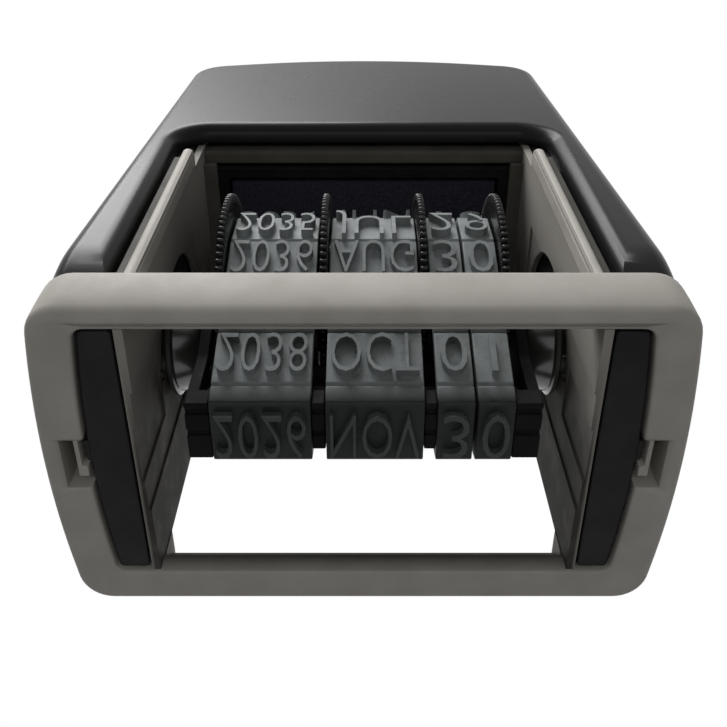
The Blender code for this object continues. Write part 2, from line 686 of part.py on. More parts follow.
def make_cover(finish):
    cover = add_object("cover", cover_shape(), finish)
    inner_half = COVER_HALF_DEPTH - COVER_PLATE
    cut(cover, prism(cavity_outline(), -inner_half, inner_half, "Y"))
    cut(cover, window_shape(COVER_WINDOW_TOP, -1))
    cut(cover, window_shape(COVER_REAR_WINDOW_TOP, 1))
    for side in (-1, 1):
        join(cover, prism(leg_outline(side), LEG_FOOT_LIFT, LEG_TOP_Z, "Z"))
        join(cover, catch_shape(side))
        low, high = across(side, LEG_INNER_X - OVERRUN / 3, LEG_INNER_X + PIN_REACH)
        cut(cover, prism(circle((PIVOT_Y, PIVOT_Z), PIN_RADIUS + RUNNING_GAP), low, high, "X"))
    recess = SPRING_RADIUS + SPRING_WIRE_RADIUS + SEAT_GAP
    low_z = spring_head_z() - SPRING_CUP_HEIGHT
    cup = circle((0, 0), recess + SPRING_CUP_WALL, ROUND_STEPS // 2)
    join(cover, prism(cup, low_z, spring_head_z() - FACE_STEP, "Z"))
    hollow = circle((0, 0), recess, ROUND_STEPS // 2)
    cut(cover, prism(hollow, low_z - EMBED, spring_head_z(), "Z"))
    return cover


def catch_shape(side):
    """The ridged catch on the outside of a leg, standing in the foot ring's notch."""
    low_y = FRONT_Y + NOTCH_SETBACK + SEAT_GAP
    outer = LEG_OUTER_X + CATCH_THICKNESS
    pitch = CATCH_LENGTH / CATCH_RIDGE_COUNT
    outline = [(side * (LEG_OUTER_X - EMBED), low_y)]
    for number in range(CATCH_RIDGE_COUNT):
        start = low_y + pitch * number
        outline += [
            (side * (outer - CATCH_RIDGE), start),
            (side * outer, start + pitch / 4),
            (side * outer, start + pitch * 3 / 4),
        ]
    outline += [
        (side * (outer - CATCH_RIDGE), low_y + CATCH_LENGTH),
        (side * (LEG_OUTER_X - EMBED), low_y + CATCH_LENGTH),
    ]
    return prism(outline, LEG_FOOT_LIFT + FACE_STEP, COVER_FOOT_Z + EMBED, "Z")


def make_tray(finish):
    """The ink tray, open below for the pad, with two finger grips behind."""
    body = oblong((-TRAY_HALF, TRAY_HALF), (TRAY_FRONT_Y, TRAY_REAR_Y), (TRAY_BOTTOM_Z, TRAY_TOP_Z))
    tray = add_object("ink_tray", body, finish)
    cut(tray, oblong(
        (-PAD_HALF - SEAT_GAP, PAD_HALF + SEAT_GAP), (PAD_FRONT_Y - SEAT_GAP, PAD_REAR_Y + SEAT_GAP),
        (TRAY_BOTTOM_Z - OVERRUN, TRAY_TOP_Z - TRAY_TOP_THICKNESS),
    ))
    middle_z = (TRAY_BOTTOM_Z + TRAY_TOP_Z) / 2
    for lift in (-1, 1):
        centre = middle_z + lift * TRAY_GRIP_HEIGHT
        join(tray, oblong(
            (-TRAY_HALF / 2, TRAY_HALF / 2), (TRAY_REAR_Y - EMBED, TRAY_REAR_Y + TRAY_GRIP_DEPTH),
            (centre - TRAY_GRIP_HEIGHT / 2, centre + TRAY_GRIP_HEIGHT / 2),
        ))
    return tray


def make_pad(finish):
    shape = oblong(
        (-PAD_HALF, PAD_HALF), (PAD_FRONT_Y, PAD_REAR_Y), (PAD_FACE_Z, PAD_FACE_Z + PAD_THICKNESS), PAD_CORNER,
    )
    return add_object("ink_pad", shape, finish)


def make_spring(finish):
    """The return spring, one unbroken helix. The least gap between its turns is printed."""
    foot = DECK_TOP_Z + SEAT_GAP + SPRING_WIRE_RADIUS
    head = spring_head_z() - SEAT_GAP - SPRING_WIRE_RADIUS
    count = SPRING_TURNS * SPRING_POINTS_PER_TURN
    points = []
    for step in range(count + 1):
        turn = math.tau * step / SPRING_POINTS_PER_TURN
        height = foot + (head - foot) * step / count
        points.append(Vector((SPRING_RADIUS * math.cos(turn), SPRING_RADIUS * math.sin(turn), height)))
    apart = min(
        (first - second).length
        for number, first in enumerate(points)
        for second in points[number + SPRING_POINTS_PER_TURN // 2:]
    )
    print(f"return_spring least gap to itself {(apart - 2 * SPRING_WIRE_RADIUS) / MM:.2f} mm")
    curve = bpy.data.curves.new("return_spring", "CURVE")
    curve.dimensions = "3D"
    spline = curve.splines.new("POLY")
    spline.points.add(count)
    for point, place in zip(spline.points, points):
        point.co = (*place, 1.0)
    curve.bevel_depth = SPRING_WIRE_RADIUS
    curve.bevel_resolution = 1
    curve.use_fill_caps = True
    curve.materials.append(own_material("return_spring", finish))
    spring = bpy.data.objects.new("return_spring", curve)
    bpy.context.scene.collection.objects.link(spring)
    return spring


def unit_object(name, shape, finish, carrier):
    """A piece of the date unit, held by the empty on the unit's pivot."""
    made = add_object(name, shape, finish)
    made.parent = carrier
    made.matrix_parent_inverse = carrier.matrix_basis.inverted()
    return made


def cheek_outline():
    """A narrow plate with a round head over the wheel axle."""
    side = [
        (CHEEK_FOOT_HALF, CHEEK_FOOT_Z), (CHEEK_FOOT_HALF, CHEEK_NECK_Z), (CHEEK_HEAD_RADIUS, CHEEK_BODY_Z),
        (CHEEK_HEAD_RADIUS, WHEEL_AXIS_Z + CHEEK_HEAD_RADIUS),
    ]
    corners = [(PIVOT_Y + y, z) for y, z in side] + [(PIVOT_Y - y, z) for y, z in reversed(side)]
    soft = [CHEEK_FOOT_ROUND, CHEEK_HEAD_RADIUS, CHEEK_HEAD_RADIUS, CHEEK_HEAD_RADIUS - RUNNING_GAP]
    return rounded(corners, soft + soft[::-1], 3)


def make_cheek(name, side, finish, carrier):
    low, high = across(side, CHEEK_INNER_X, CHEEK_INNER_X + CHEEK_THICKNESS)
    cheek = unit_object(name, prism(cheek_outline(), low, high, "X"), finish, carrier)
    for z, radius in ((WHEEL_AXIS_Z, AXLE_RADIUS), (TIE_ROD_Z, TIE_ROD_RADIUS)):
        hole = circle((PIVOT_Y, z), radius + RUNNING_GAP, ROUND_STEPS // 2)
        cut(cheek, prism(hole, low - EMBED, high + EMBED, "X"))
    return cheek


def turned(profile, centre_y, centre_z, steps=ROUND_STEPS):
    """A round solid about an axis along X, from pairs of x and radius, in order of x."""
    shape = bmesh.new()
    rings = []
    for x, radius in profile:
        ring = [
            shape.verts.new((x, centre_y + radius * math.cos(t), centre_z + radius * math.sin(t)))
            for t in (math.tau * step / steps for step in range(steps))
        ]
        rings.append(ring)
    skin(shape, rings)
    shape.faces.new(rings[0])
    shape.faces.new(rings[-1])
    return shape


def make_hub(name, side, finish, carrier):
    """A pivot hub: a drum with a raised rim, the pivot pin and the peg that runs in the groove."""
    inner, outer = HUB_INNER_X, HUB_OUTER_X
    profile = [
        (inner, HUB_RADIUS - HUB_RIM), (outer - HUB_RIM_DEPTH * 2, HUB_RADIUS - HUB_RIM),
        (outer - HUB_RIM_DEPTH * 2 + FACE_STEP, HUB_RADIUS), (outer, HUB_RADIUS),
    ]
    hub = unit_object(
        name, turned([(side * x, radius) for x, radius in profile], PIVOT_Y, PIVOT_Z), finish, carrier
    )
    low, high = across(side, outer - EMBED, LEG_INNER_X + PIN_REACH - SEAT_GAP)
    join(hub, prism(circle((PIVOT_Y, PIVOT_Z), PIN_RADIUS, ROUND_STEPS // 2), low, high, "X"))
    peg = peg_place(0)
    low, high = across(side, outer - EMBED, WALL_OUTER_X - RUNNING_GAP)
    join(hub, prism(circle(peg, PEG_RADIUS, ROUND_STEPS // 2), low, high, "X"))
    return hub


def bridge_section(low_z, half, height):
    """The section of the bridge's comb, with two grooves in its lower face."""
    points = [(PIVOT_Y - half, low_z)]
    for share in BRIDGE_GROOVE_SHARES:
        middle = PIVOT_Y - half + 2 * half * share
        edge = BRIDGE_GROOVE_WIDTH / 2
        points += [
            (middle - edge, low_z), (middle - edge, low_z + BRIDGE_GROOVE_DEPTH),
            (middle + edge, low_z + BRIDGE_GROOVE_DEPTH), (middle + edge, low_z),
        ]
    points += [(PIVOT_Y + half, low_z), (PIVOT_Y + half, low_z + height), (PIVOT_Y - half, low_z + height)]
    return [Vector(point) for point in points]


def make_bridge(finish, carrier):
    """The bar behind the print face, with a comb of teeth that stand between the bands."""
    reach = CHEEK_INNER_X - SEAT_GAP
    core_z = PRINT_FACE_Z + BAND_THICKNESS + SEAT_GAP
    core = [
        (PIVOT_Y - BRIDGE_CORE_HALF, core_z), (PIVOT_Y + BRIDGE_CORE_HALF, core_z),
        (PIVOT_Y + BRIDGE_CORE_HALF, core_z + BRIDGE_CORE_HEIGHT),
        (PIVOT_Y - BRIDGE_CORE_HALF, core_z + BRIDGE_CORE_HEIGHT),
    ]
    core_shape = prism(core, -reach + FACE_STEP, reach - FACE_STEP, "X")
    bridge = unit_object("print_bridge", core_shape, finish, carrier)
    reach += BRIDGE_END_REACH + SEAT_GAP
    edges = [-reach] + [x for band in BAND_EDGES for x in band] + [reach]
    half = PRINT_FACE_DEPTH / 2 - BRIDGE_COMB_INSET
    section = bridge_section(PRINT_FACE_Z + BRIDGE_COMB_INSET, half, BRIDGE_COMB_HEIGHT)
    for start, end in zip(edges[::2], edges[1::2]):
        if end - start > 4 * RUNNING_GAP:
            low = start if start == -reach else start + RUNNING_GAP
            high = end if end == reach else end - RUNNING_GAP
            join(bridge, prism(section, low, high, "X"))
    return bridge


def band_path(offset):
    """The band's loop at this depth under its outer face, starting at the front of the print face.

    It lists the corner points in order, each with the outward direction there.
    """
    half = PRINT_FACE_DEPTH / 2
    rise = WHEEL_AXIS_Z - PRINT_FACE_Z
    reach = math.hypot(half, rise)
    lean = math.asin(BAND_WRAP_RADIUS / reach) - math.atan2(half, rise)
    run = math.sqrt(reach ** 2 - BAND_WRAP_RADIUS ** 2)
    facet = (run - BAND_CORNER) / RUN_FACETS
    corners = [(half, PRINT_FACE_Z)]
    for number in range(RUN_FACETS + 1):
        along = BAND_CORNER + facet * number
        corners.append((half + along * math.sin(lean), PRINT_FACE_Z + along * math.cos(lean)))
    sweep = math.pi + 2 * lean
    for number in range(1, WRAP_FACETS // 2):
        turn = -lean + sweep * number / WRAP_FACETS
        corners.append((
            BAND_WRAP_RADIUS * math.cos(turn), WHEEL_AXIS_Z + BAND_WRAP_RADIUS * math.sin(turn),
        ))
    top = (0.0, WHEEL_AXIS_Z + BAND_WRAP_RADIUS)
    loop = corners + [top] + [(-y, z) for y, z in reversed(corners)]
    return inset_loop([Vector((PIVOT_Y + y, z)) for y, z in loop], offset)


def inset_loop(loop, offset):
    """The loop moved inwards by offset, each corner along its two faces' normals."""
    count = len(loop)
    moved = []
    for index, here in enumerate(loop):
        before = (here - loop[index - 1]).normalized()
        after = (loop[(index + 1) % count] - here).normalized()
        first = Vector((-before.y, before.x))
        second = Vector((-after.y, after.x))
        between = (first + second).normalized()
        moved.append(here + between * (offset / between.dot(first)))
    return moved


def band_outline():
    """The band's outer outline, with a small groove at each edge between two date faces."""
    loop = band_path(0)
    deep = band_path(BAND_GROOVE_DEPTH)
    count = len(loop)
    points = []
    for index, here in enumerate(loop):
        back = (loop[index - 1] - here).normalized() * (BAND_GROOVE_WIDTH / 2)
        ahead = (loop[(index + 1) % count] - here).normalized() * (BAND_GROOVE_WIDTH / 2)
        if index in (0, count - 1):
            points += [here + back, here + ahead]
        else:
            points += [here + back, deep[index], here + ahead]
    return points


def make_band(number, edges, finish, carrier):
    name = f"date_band_{number}"
    band = unit_object(name, prism(band_outline(), edges[0], edges[1], "X"), finish, carrier)
    cut(band, prism(band_path(BAND_THICKNESS), edges[0] - EMBED, edges[1] + EMBED, "X"))
    return band


def disc_outline():
    """The thumb disc's rim: square teeth with sloping flanks, from a formula."""
    points = []
    pitch = math.tau / DISC_TEETH
    root = DISC_RADIUS - TOOTH_DEPTH
    for tooth in range(DISC_TEETH):
        middle = pitch * tooth
        for offset, radius in (
            (-(1 - TOOTH_ROOT_SHARE) / 2, root), (-TOOTH_TOP_SHARE / 2, DISC_RADIUS),
            (TOOTH_TOP_SHARE / 2, DISC_RADIUS), ((1 - TOOTH_ROOT_SHARE) / 2, root),
        ):
            turn = middle + pitch * offset
            points.append(Vector((PIVOT_Y + radius * math.cos(turn), WHEEL_AXIS_Z + radius * math.sin(turn))))
    return points


def make_thumb_wheel(number, edges, side, finish, carrier):
    """A toothed thumb disc with the drum that drives its band, on the wheel axle."""
    gap = RUNNING_GAP
    if side < 0:
        disc = (edges[0] - gap - DISC_THICKNESS, edges[0] - gap)
        drum = (disc[1] - EMBED, edges[1] - RUNNING_GAP / 2)
    else:
        disc = (edges[1] + gap, edges[1] + gap + DISC_THICKNESS)
        drum = (edges[0] + RUNNING_GAP / 2, disc[0] + EMBED)
    centre = empty_at(f"thumb_wheel_{number}_axis", (0, PIVOT_Y, WHEEL_AXIS_Z), carrier)
    wheel = unit_object(
        f"thumb_wheel_{number}", prism(disc_outline(), disc[0], disc[1], "X"), finish, carrier
    )
    wheel.parent = centre
    wheel.matrix_parent_inverse = (carrier.matrix_basis @ centre.matrix_basis).inverted()
    join(wheel, prism(circle((PIVOT_Y, WHEEL_AXIS_Z), DRUM_RADIUS), drum[0], drum[1], "X"))
    bore = circle((PIVOT_Y, WHEEL_AXIS_Z), AXLE_RADIUS + RUNNING_GAP, ROUND_STEPS // 2)
    low, high = min(disc[0], drum[0]) - EMBED, max(disc[1], drum[1]) + EMBED
    cut(wheel, prism(bore, low, high, "X"))
    return wheel


def make_rod(name, z, radius, finish, carrier):
    """A plain rod from cheek to cheek."""
    reach = CHEEK_INNER_X + CHEEK_THICKNESS
    shape = turned([(-reach, radius), (reach, radius)], PIVOT_Y, z, ROUND_STEPS // 2)
    return unit_object(name, shape, finish, carrier)


def empty_at(name, place, parent=None):
    made = bpy.data.objects.new(name, None)
    bpy.context.scene.collection.objects.link(made)
    made.parent = parent
    origin = parent.location if parent else Vector((0, 0, 0))
    made.location = Vector(place) - origin
    return made


def make_date_unit(black, rubber, steel):
    carrier = empty_at("date_unit_pivot", (0, PIVOT_Y, PIVOT_Z))
    for name, side in (("left", -1), ("right", 1)):
        make_cheek(f"{name}_cheek", side, black, carrier)
        make_hub(f"{name}_pivot_hub", side, black, carrier)
    make_bridge(black, carrier)
    make_rod("wheel_axle", WHEEL_AXIS_Z, AXLE_RADIUS, steel, carrier)
    make_rod("tie_rod", TIE_ROD_Z, TIE_ROD_RADIUS, black, carrier)
    for index, (edges, side) in enumerate(zip(BAND_EDGES, DISC_SIDES)):
        make_thumb_wheel(index + 1, edges, side, black, carrier)
        make_band(index + 1, edges, rubber, carrier)


def main():
    for old in list(bpy.data.objects):
        bpy.data.objects.remove(old, do_unlink=True)
    make_foot_frame(GREY_PLASTIC)
    make_cover(GLOSS_PLASTIC)
    make_tray(SATIN_PLASTIC)
    make_pad(INKED_FELT)
    make_spring(SPRING_STEEL)
    make_date_unit(SATIN_PLASTIC, BAND_RUBBER, SPRING_STEEL)


main()
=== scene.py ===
"""The looks of a self-inking mini date stamp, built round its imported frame.

Metres, +Z up from the paper, +X to the right, and the open front faces -Y. The stamp is pressed
down, and the camera looks up at it from under its front.
"""

import json
import math
from functools import partial

import bmesh
import bpy
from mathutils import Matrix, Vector


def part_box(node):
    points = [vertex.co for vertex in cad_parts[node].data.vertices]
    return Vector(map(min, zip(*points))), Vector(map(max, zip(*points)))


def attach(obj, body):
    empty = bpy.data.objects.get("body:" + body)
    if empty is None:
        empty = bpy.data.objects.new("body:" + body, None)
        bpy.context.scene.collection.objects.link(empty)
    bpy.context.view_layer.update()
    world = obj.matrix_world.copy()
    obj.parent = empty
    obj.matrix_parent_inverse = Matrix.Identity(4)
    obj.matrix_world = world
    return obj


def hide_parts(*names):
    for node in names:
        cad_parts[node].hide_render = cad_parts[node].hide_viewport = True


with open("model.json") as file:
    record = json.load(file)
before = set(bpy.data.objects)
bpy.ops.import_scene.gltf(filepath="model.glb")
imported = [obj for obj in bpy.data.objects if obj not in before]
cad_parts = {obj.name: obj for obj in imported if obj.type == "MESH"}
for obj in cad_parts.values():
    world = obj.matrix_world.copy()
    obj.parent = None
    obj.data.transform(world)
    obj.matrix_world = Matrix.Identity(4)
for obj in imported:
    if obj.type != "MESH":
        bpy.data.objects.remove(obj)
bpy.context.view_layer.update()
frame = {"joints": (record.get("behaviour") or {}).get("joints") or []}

MM = 0.001
JOINTS = {joint["name"]: joint for joint in frame["joints"]}

# Places read from the frame
PIVOT_Y, PIVOT_Z = JOINTS["unit_flip"]["pos_m"][1:]
WHEEL_Z = JOINTS["thumb_wheel_1_spin"]["pos_m"][2]
COVER_TRAVEL = JOINTS["cover_slide"]["range_m"][1]
FOOT_LOW, FOOT_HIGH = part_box("foot_frame")
FRONT_Y = FOOT_LOW.y
BAND_LOW, BAND_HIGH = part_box("date_band_1")
PRINT_FACE_Z = BAND_LOW.z
BAND_WRAP_RADIUS = BAND_HIGH.z - WHEEL_Z
TRAY_LOW, TRAY_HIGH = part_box("ink_tray")
PAD_LOW, PAD_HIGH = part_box("ink_pad")
SPRING_LOW, SPRING_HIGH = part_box("return_spring")
COVER_LOW, COVER_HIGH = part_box("cover")
DISC_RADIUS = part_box("thumb_wheel_1")[1].z - WHEEL_Z

# Gaps and overlaps
SEAT_GAP = 0.3 * MM
RUNNING_GAP = 0.15 * MM
OVERRUN = 1.0 * MM
EMBED = 0.4 * MM
FACE_STEP = 0.05 * MM
SIDES = (("left", -1), ("right", 1))

# Foot frame
FOOT_HEIGHT = 4.6 * MM
FOOT_SIDE_RADIUS = 85.0 * MM
FOOT_CORNER_RADIUS = 2.4 * MM
FOOT_BOTTOM_ROUND = 0.8 * MM
FOOT_FRONT_ROUND = 1.4 * MM
FOOT_FRONT_ROUND_HEIGHT = 3.6 * MM
FOOT_FRONT_END_SHARE = 0.2
FOOT_TOP_ROUND = 0.5 * MM
FOOT_REAR_BAR = 2.9 * MM
OPENING_FRONT_Y = FRONT_Y + 1.7 * MM
OPENING_REAR_Y = -FRONT_Y - FOOT_REAR_BAR
OPENING_HALF = FOOT_HIGH.x - 3.0 * MM
OPENING_SIDE_RADIUS = 77.0 * MM
OPENING_CORNER = 0.8 * MM
OPENING_ROUND = 0.22 * MM
REAR_FLANGE_HEIGHT = 1.7 * MM
REAR_RIM_Y = -FRONT_Y - 1.0 * MM
REAR_RIM_HEIGHT = 3.9 * MM
WALL_OUTER_X = OPENING_HALF - 3.05 * MM
WALL_INNER_X = WALL_OUTER_X - 0.6 * MM
WALL_FOOT_Z = 0.3 * MM
WALL_FOOT_SETBACK = 1.2 * MM
WALL_REAR_Y = -FRONT_Y - 2.6 * MM
WALL_STEP_Z = 28.6 * MM
WALL_UPPER_Y = FRONT_Y + 2.05 * MM
WALL_CORNER = 0.8 * MM
WALL_ROUND = 0.1 * MM
POST_Y = FRONT_Y + 0.35 * MM
POST_DEPTH = 1.4 * MM
POST_NOSE_WIDTH = 0.9 * MM
POST_NOSE_ROUND = 0.44 * MM
POST_END_ROUND = 0.08 * MM
POST_OUTER_X = WALL_OUTER_X + 1.05 * MM
POST_FLANGE_SETBACK = 0.7 * MM
POST_TOP_Z = 28.2 * MM
REAR_POST_DEPTH = 0.8 * MM
REAR_POST_INSET = 0.25 * MM
CROSSBAR_Y = FRONT_Y + 2.4 * MM
CROSSBAR_DEPTH = 1.2 * MM
CROSSBAR_Z = 33.3 * MM
CROSSBAR_HEIGHT = 3.6 * MM
CROSSBAR_ROUND = 0.3 * MM
REAR_BAR_DEPTH = 1.1 * MM
BAR_ROUND = 0.15 * MM
BETWEEN_WALLS = (-WALL_INNER_X - SEAT_GAP, WALL_INNER_X + SEAT_GAP)
LEDGE_WIDTH = 1.15 * MM
LEDGE_HEIGHT = 0.7 * MM
LEDGE_ROUND = 0.12 * MM
DECK_THICKNESS = 1.4 * MM
DECK_TOP_Z = TRAY_HIGH.z + SEAT_GAP + DECK_THICKNESS
DECK_RIB_PLACES = (6.6 * MM, 10.4 * MM)
DECK_RIB_THICKNESS = 0.9 * MM
DECK_RIB_HEIGHT = 1.2 * MM
DECK_RIB_ROUND = 0.2 * MM
SPRING_POST_RADIUS = 2.4 * MM
SPRING_POST_HEIGHT = 1.6 * MM
NOTCH_Y = FRONT_Y + 9.9 * MM
NOTCH_LENGTH = 3.9 * MM
NOTCH_REACH = 1.55 * MM
KEEPER_OFFSET = 0.35 * MM
KEEPER_THICKNESS = 0.3 * MM
KEEPER_LENGTH = 3.0 * MM
KEEPER_LUG = 0.8 * MM
KEEPER_ROUND = 0.06 * MM
RECESS_Y = FRONT_Y + 6.5 * MM
RECESS_LENGTH = 9.6 * MM
RECESS_DEPTH = 0.15 * MM
RECESS_TOP_Z = 26.0 * MM
CHANNEL_Y = FRONT_Y + 9.3 * MM
CHANNEL_LENGTH = 4.3 * MM
CHANNEL_DEPTH = 0.3 * MM
CHANNEL_TOP_Z = 8.0 * MM
HUB_RADIUS = 4.3 * MM
PIN_RADIUS = 1.0 * MM
PIN_REACH = 1.2 * MM
PEG_RADIUS = 0.6 * MM
PEG_ORBIT = 3.6 * MM
PEG_CHAMFER = 0.08 * MM
GROOVE_END_SHARE = 0.1
GROOVE_NEAR_SHARE = 0.05

# Cover
COVER_FOOT_Z = FOOT_HEIGHT + SEAT_GAP
COVER_FOOT_HALF = COVER_HIGH.x
COVER_TAPER = 2.1 * MM
COVER_SHOULDER_Z = 55.2 * MM
COVER_CROWN_RISE = 4.0 * MM
COVER_CROWN_SHARE = 0.7
COVER_SHOULDER_RADIUS = 4.0 * MM
COVER_EDGE_ROUND = 1.2 * MM
COVER_TUCK = 0.8 * MM
COVER_TUCK_HEIGHT = 4.2 * MM
COVER_SIDE_WALL = 1.6 * MM
COVER_PLATE = 1.5 * MM
SHELL_ROUND = 0.12 * MM
COVER_ROOF = 1.9 * MM
WINDOW_HALF = POST_OUTER_X + SEAT_GAP
WINDOW_TOP = 33.9 * MM
REAR_WINDOW_TOP = 38.4 * MM
WINDOW_CORNER = 3.0 * MM
WINDOW_ROUND = 1.3 * MM
LEG_THICKNESS = 2.9 * MM
LEG_GAP = 0.2 * MM
LEG_END_GAP = 0.25 * MM
LEG_INNER_X = OPENING_HALF - LEG_THICKNESS
LEG_FOOT_Z = 0.3 * MM
LEG_TOP_Z = 48.0 * MM
CATCH_REACH = 0.3 * MM
CATCH_LENGTH = 1.6 * MM
CATCH_RIDGES = 3
CATCH_RIDGE = 0.15 * MM
CATCH_LIFT = 0.1 * MM
CUP_RADIUS = 4.1 * MM
CUP_WALL = 0.8 * MM
CUP_HEIGHT = 2.4 * MM

# Date unit
CHEEK_INNER_X, CHEEK_OUTER_X = (corner.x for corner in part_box("right_cheek"))
CHEEK_FOOT_Z = 3.1 * MM
CHEEK_FOOT_HALF = 1.6 * MM
CHEEK_FOOT_CORNER = 0.5 * MM
CHEEK_NECK_Z = 7.6 * MM
CHEEK_BODY_Z = 10.5 * MM
CHEEK_HEAD_RADIUS = 2.6 * MM
PRINT_FACE_DEPTH = 4.6 * MM
COMB_GAP = 0.03 * MM
COMB_SETBACK = 0.75 * MM
COMB_INSET = 0.1 * MM
COMB_HEIGHT = 1.7 * MM
COMB_LEAST_WIDTH = 0.6 * MM
COMB_NOTCH_SHARES = (0.15, 0.53)
COMB_NOTCH_HALF = 0.22 * MM
COMB_NOTCH_DEPTH = 0.3 * MM
CORE_HALF = 0.95 * MM
CORE_HEIGHT = 2.6 * MM
BAND_THICKNESS = 1.0 * MM
BAND_CORNER = 1.6 * MM
BAND_ROUND = 0.07 * MM
BAND_GROOVE_WIDTH = 0.34 * MM
BAND_GROOVE_DEPTH = 0.26 * MM
RUN_FACETS = 3
WRAP_FACETS = 6
AXLE_RADIUS = 1.4 * MM
ROD_RADIUS = 0.8 * MM
ROD_CHAMFER = 0.15 * MM
ROD_FIT = 0.1 * MM
CHEEK_ROUND = 0.18 * MM
DRUM_RADIUS = 5.4 * MM
DISC_THICKNESS = 0.6 * MM
DISC_TEETH = 96
TOOTH_DEPTH = 0.5 * MM
TOOTH_STEPS = 8
TOOTH_SHARE = 0.36

# Raised characters on the bands
TYPE_HEIGHT = 0.6 * MM
TYPE_ROUND = 0.06 * MM
TYPE_CAP = 3.65 * MM
TYPE_MARGIN = 0.3 * MM
TYPE_EMBED = 0.2 * MM
TYPE_STROKE = -0.01
FONT_CAP_SHARE = 0.73
MERGE_DISTANCE = 0.001 * MM
YEARS = [str(year) for year in range(2026, 2039)]
MONTHS = "NOV DEC - JAN FEB MAR APR MAY JUN JUL AUG SEP OCT".split()
TENS = "3-0123-0123-0"
UNITS = "01234567890-1"
BAND_LABELS = (YEARS, MONTHS, TENS, UNITS)

# Tray, pad and return spring
TRAY_ROUND = 0.2 * MM
GRIP_REACH = 1.6 * MM
GRIP_OFFSET = 0.9 * MM
GRIP_HALF = 0.45 * MM
PAD_COLUMNS = 60
PAD_ROWS = 34
PAD_CROWN = 0.25 * MM
PAD_CROWN_POWER = 6
PAD_CROWN_SHARE = 0.9
PAD_RIPPLE = 0.03
WIRE_RADIUS = 0.4 * MM
SPRING_TURNS = 7
SPRING_POINTS_PER_TURN = 24

# Steps on round outlines
ARC_STEPS = 8
SIDE_STEPS = 24
ROUND_STEPS = 72
GROOVE_STEPS = 40
SLOT_STEPS = 16

# Camera, light and floor
CAMERA_PLACE = Vector((0.0, -37.96, -46.86)) * MM
CAMERA_TILT = 147.6
CAMERA_LENS = 45.2
FLOOR_SIZE = 12.0
FLOOR_WHITE = 0.7
WORLD_LIGHT = 0.13
KEY_PLACE = Vector((-88, -175, 248)) * MM
KEY_SIZE = 0.17
KEY_POWER = 1.05
UNDER_PLACE = Vector((0, -230, -260)) * MM
UNDER_LENGTH = 0.24
UNDER_DEPTH = 0.05
UNDER_POWER = 0.17
KEY_TARGET = Vector((0, 0, 20)) * MM
UNDER_TARGET = Vector((0, 0, 10)) * MM

# Materials
NOISE_LOW = 0.3
NOISE_HIGH = 0.7
GRAIN_SCALE = 9000.0
MOULD_GRAIN = 0.02 * MM
BLACK_GRAIN = 0.012 * MM
WHEEL_GRAIN = 0.006 * MM
HUB_GRAIN = 0.004 * MM
GLOSS_GRAIN = 0.002 * MM
GLOSS_GRAIN_SCALE = 14000.0
STREAK_DEPTH = 0.01 * MM
FIBRE_DEPTH = 0.08 * MM
# The next three lines place the painted shade on the side walls' inner faces
WALL_SHADE_EDGE = 0.35 * MM
WALL_SHADE_SETBACK = 3.5 * MM
WALL_SHADE_FULL_Y = 0.5 * MM
BAND_INK_FULL = 0.3 * MM
BAND_INK_END = 1.6 * MM

# Edges that turn by more degrees than this are rounded and drawn sharp
EDGE_ANGLE = 32


def across(side, near, far):
    """The x range from near to far on the left (-1) or right (+1) side, low value first."""
    return tuple(sorted((side * near, side * far)))


def rounded(corners, radii, steps=ARC_STEPS):
    """A closed outline whose corners are arcs of these radii."""
    points = []
    count = len(corners)
    for index, corner in enumerate(corners):
        here = Vector(corner)
        before = (Vector(corners[index - 1]) - here).normalized()
        after = (Vector(corners[(index + 1) % count]) - here).normalized()
        radius = radii[index]
        if radius <= 0:
            points.append(here)
            continue
        half_angle = before.angle(after) / 2
        middle = here + (before + after).normalized() * (radius / math.sin(half_angle))
        start = here + before * (radius / math.tan(half_angle)) - middle
        finish = here + after * (radius / math.tan(half_angle)) - middle
        for step in range(steps + 1):
            share = step / steps
            arm = (start * (1 - share) + finish * share).normalized()
            points.append(middle + arm * radius)
    return points


def arc(centre, radius, start, end, steps):
    """Points on an arc from one turn to another, both ends included."""
    turns = [start + (end - start) * step / steps for step in range(steps + 1)]
    return [(centre[0] + radius * math.cos(turn), centre[1] + radius * math.sin(turn)) for turn in turns]


def circle(centre, radius):
    """A full circle as a closed outline."""
    return arc(centre, radius, 0, math.tau, ROUND_STEPS)[:-1]


def barrel(half_width, low_y, high_y, side_radius, corner_radius):
    """A rounded oblong whose two long sides bow outwards on a large radius."""
    corner_y = (high_y - low_y) / 2 - corner_radius
    middle_y = (high_y + low_y) / 2
    side_centre = half_width - side_radius
    reach = math.asin(corner_y / (side_radius - corner_radius))
    corner_x = side_centre + (side_radius - corner_radius) * math.cos(reach)
    quarter = arc((side_centre, 0), side_radius, 0, reach, SIDE_STEPS)[:-1]
    quarter += arc((corner_x, corner_y), corner_radius, reach, math.pi / 2, ARC_STEPS)
    upper = quarter + [(-x, y) for x, y in reversed(quarter)]
    lower = [(-x, -y) for x, y in upper[1:-1]]
    return [(x, y + middle_y) for x, y in upper + lower]


def prism(outline, low, high, along):
    """A closed prism of this outline along X, Y or Z, from low to high."""
    place = {
        "X": lambda point, depth: (depth, point[0], point[1]),
        "Y": lambda point, depth: (point[0], depth, point[1]),
        "Z": lambda point, depth: (point[0], point[1], depth),
    }[along]
    shape = bmesh.new()
    base = shape.faces.new([shape.verts.new(place(point, low)) for point in outline])
    grown = bmesh.ops.extrude_face_region(shape, geom=[base])
    new_verts = [item for item in grown["geom"] if isinstance(item, bmesh.types.BMVert)]
    bmesh.ops.translate(shape, verts=new_verts, vec=Vector(place((0, 0), high - low)))
    return shape


def oblong(x_range, y_range, z_range):
    """A box between these limits."""
    (left, right), (near, far) = x_range, y_range
    corners = ((left, near), (right, near), (right, far), (left, far))
    return prism(corners, *z_range, "Z")


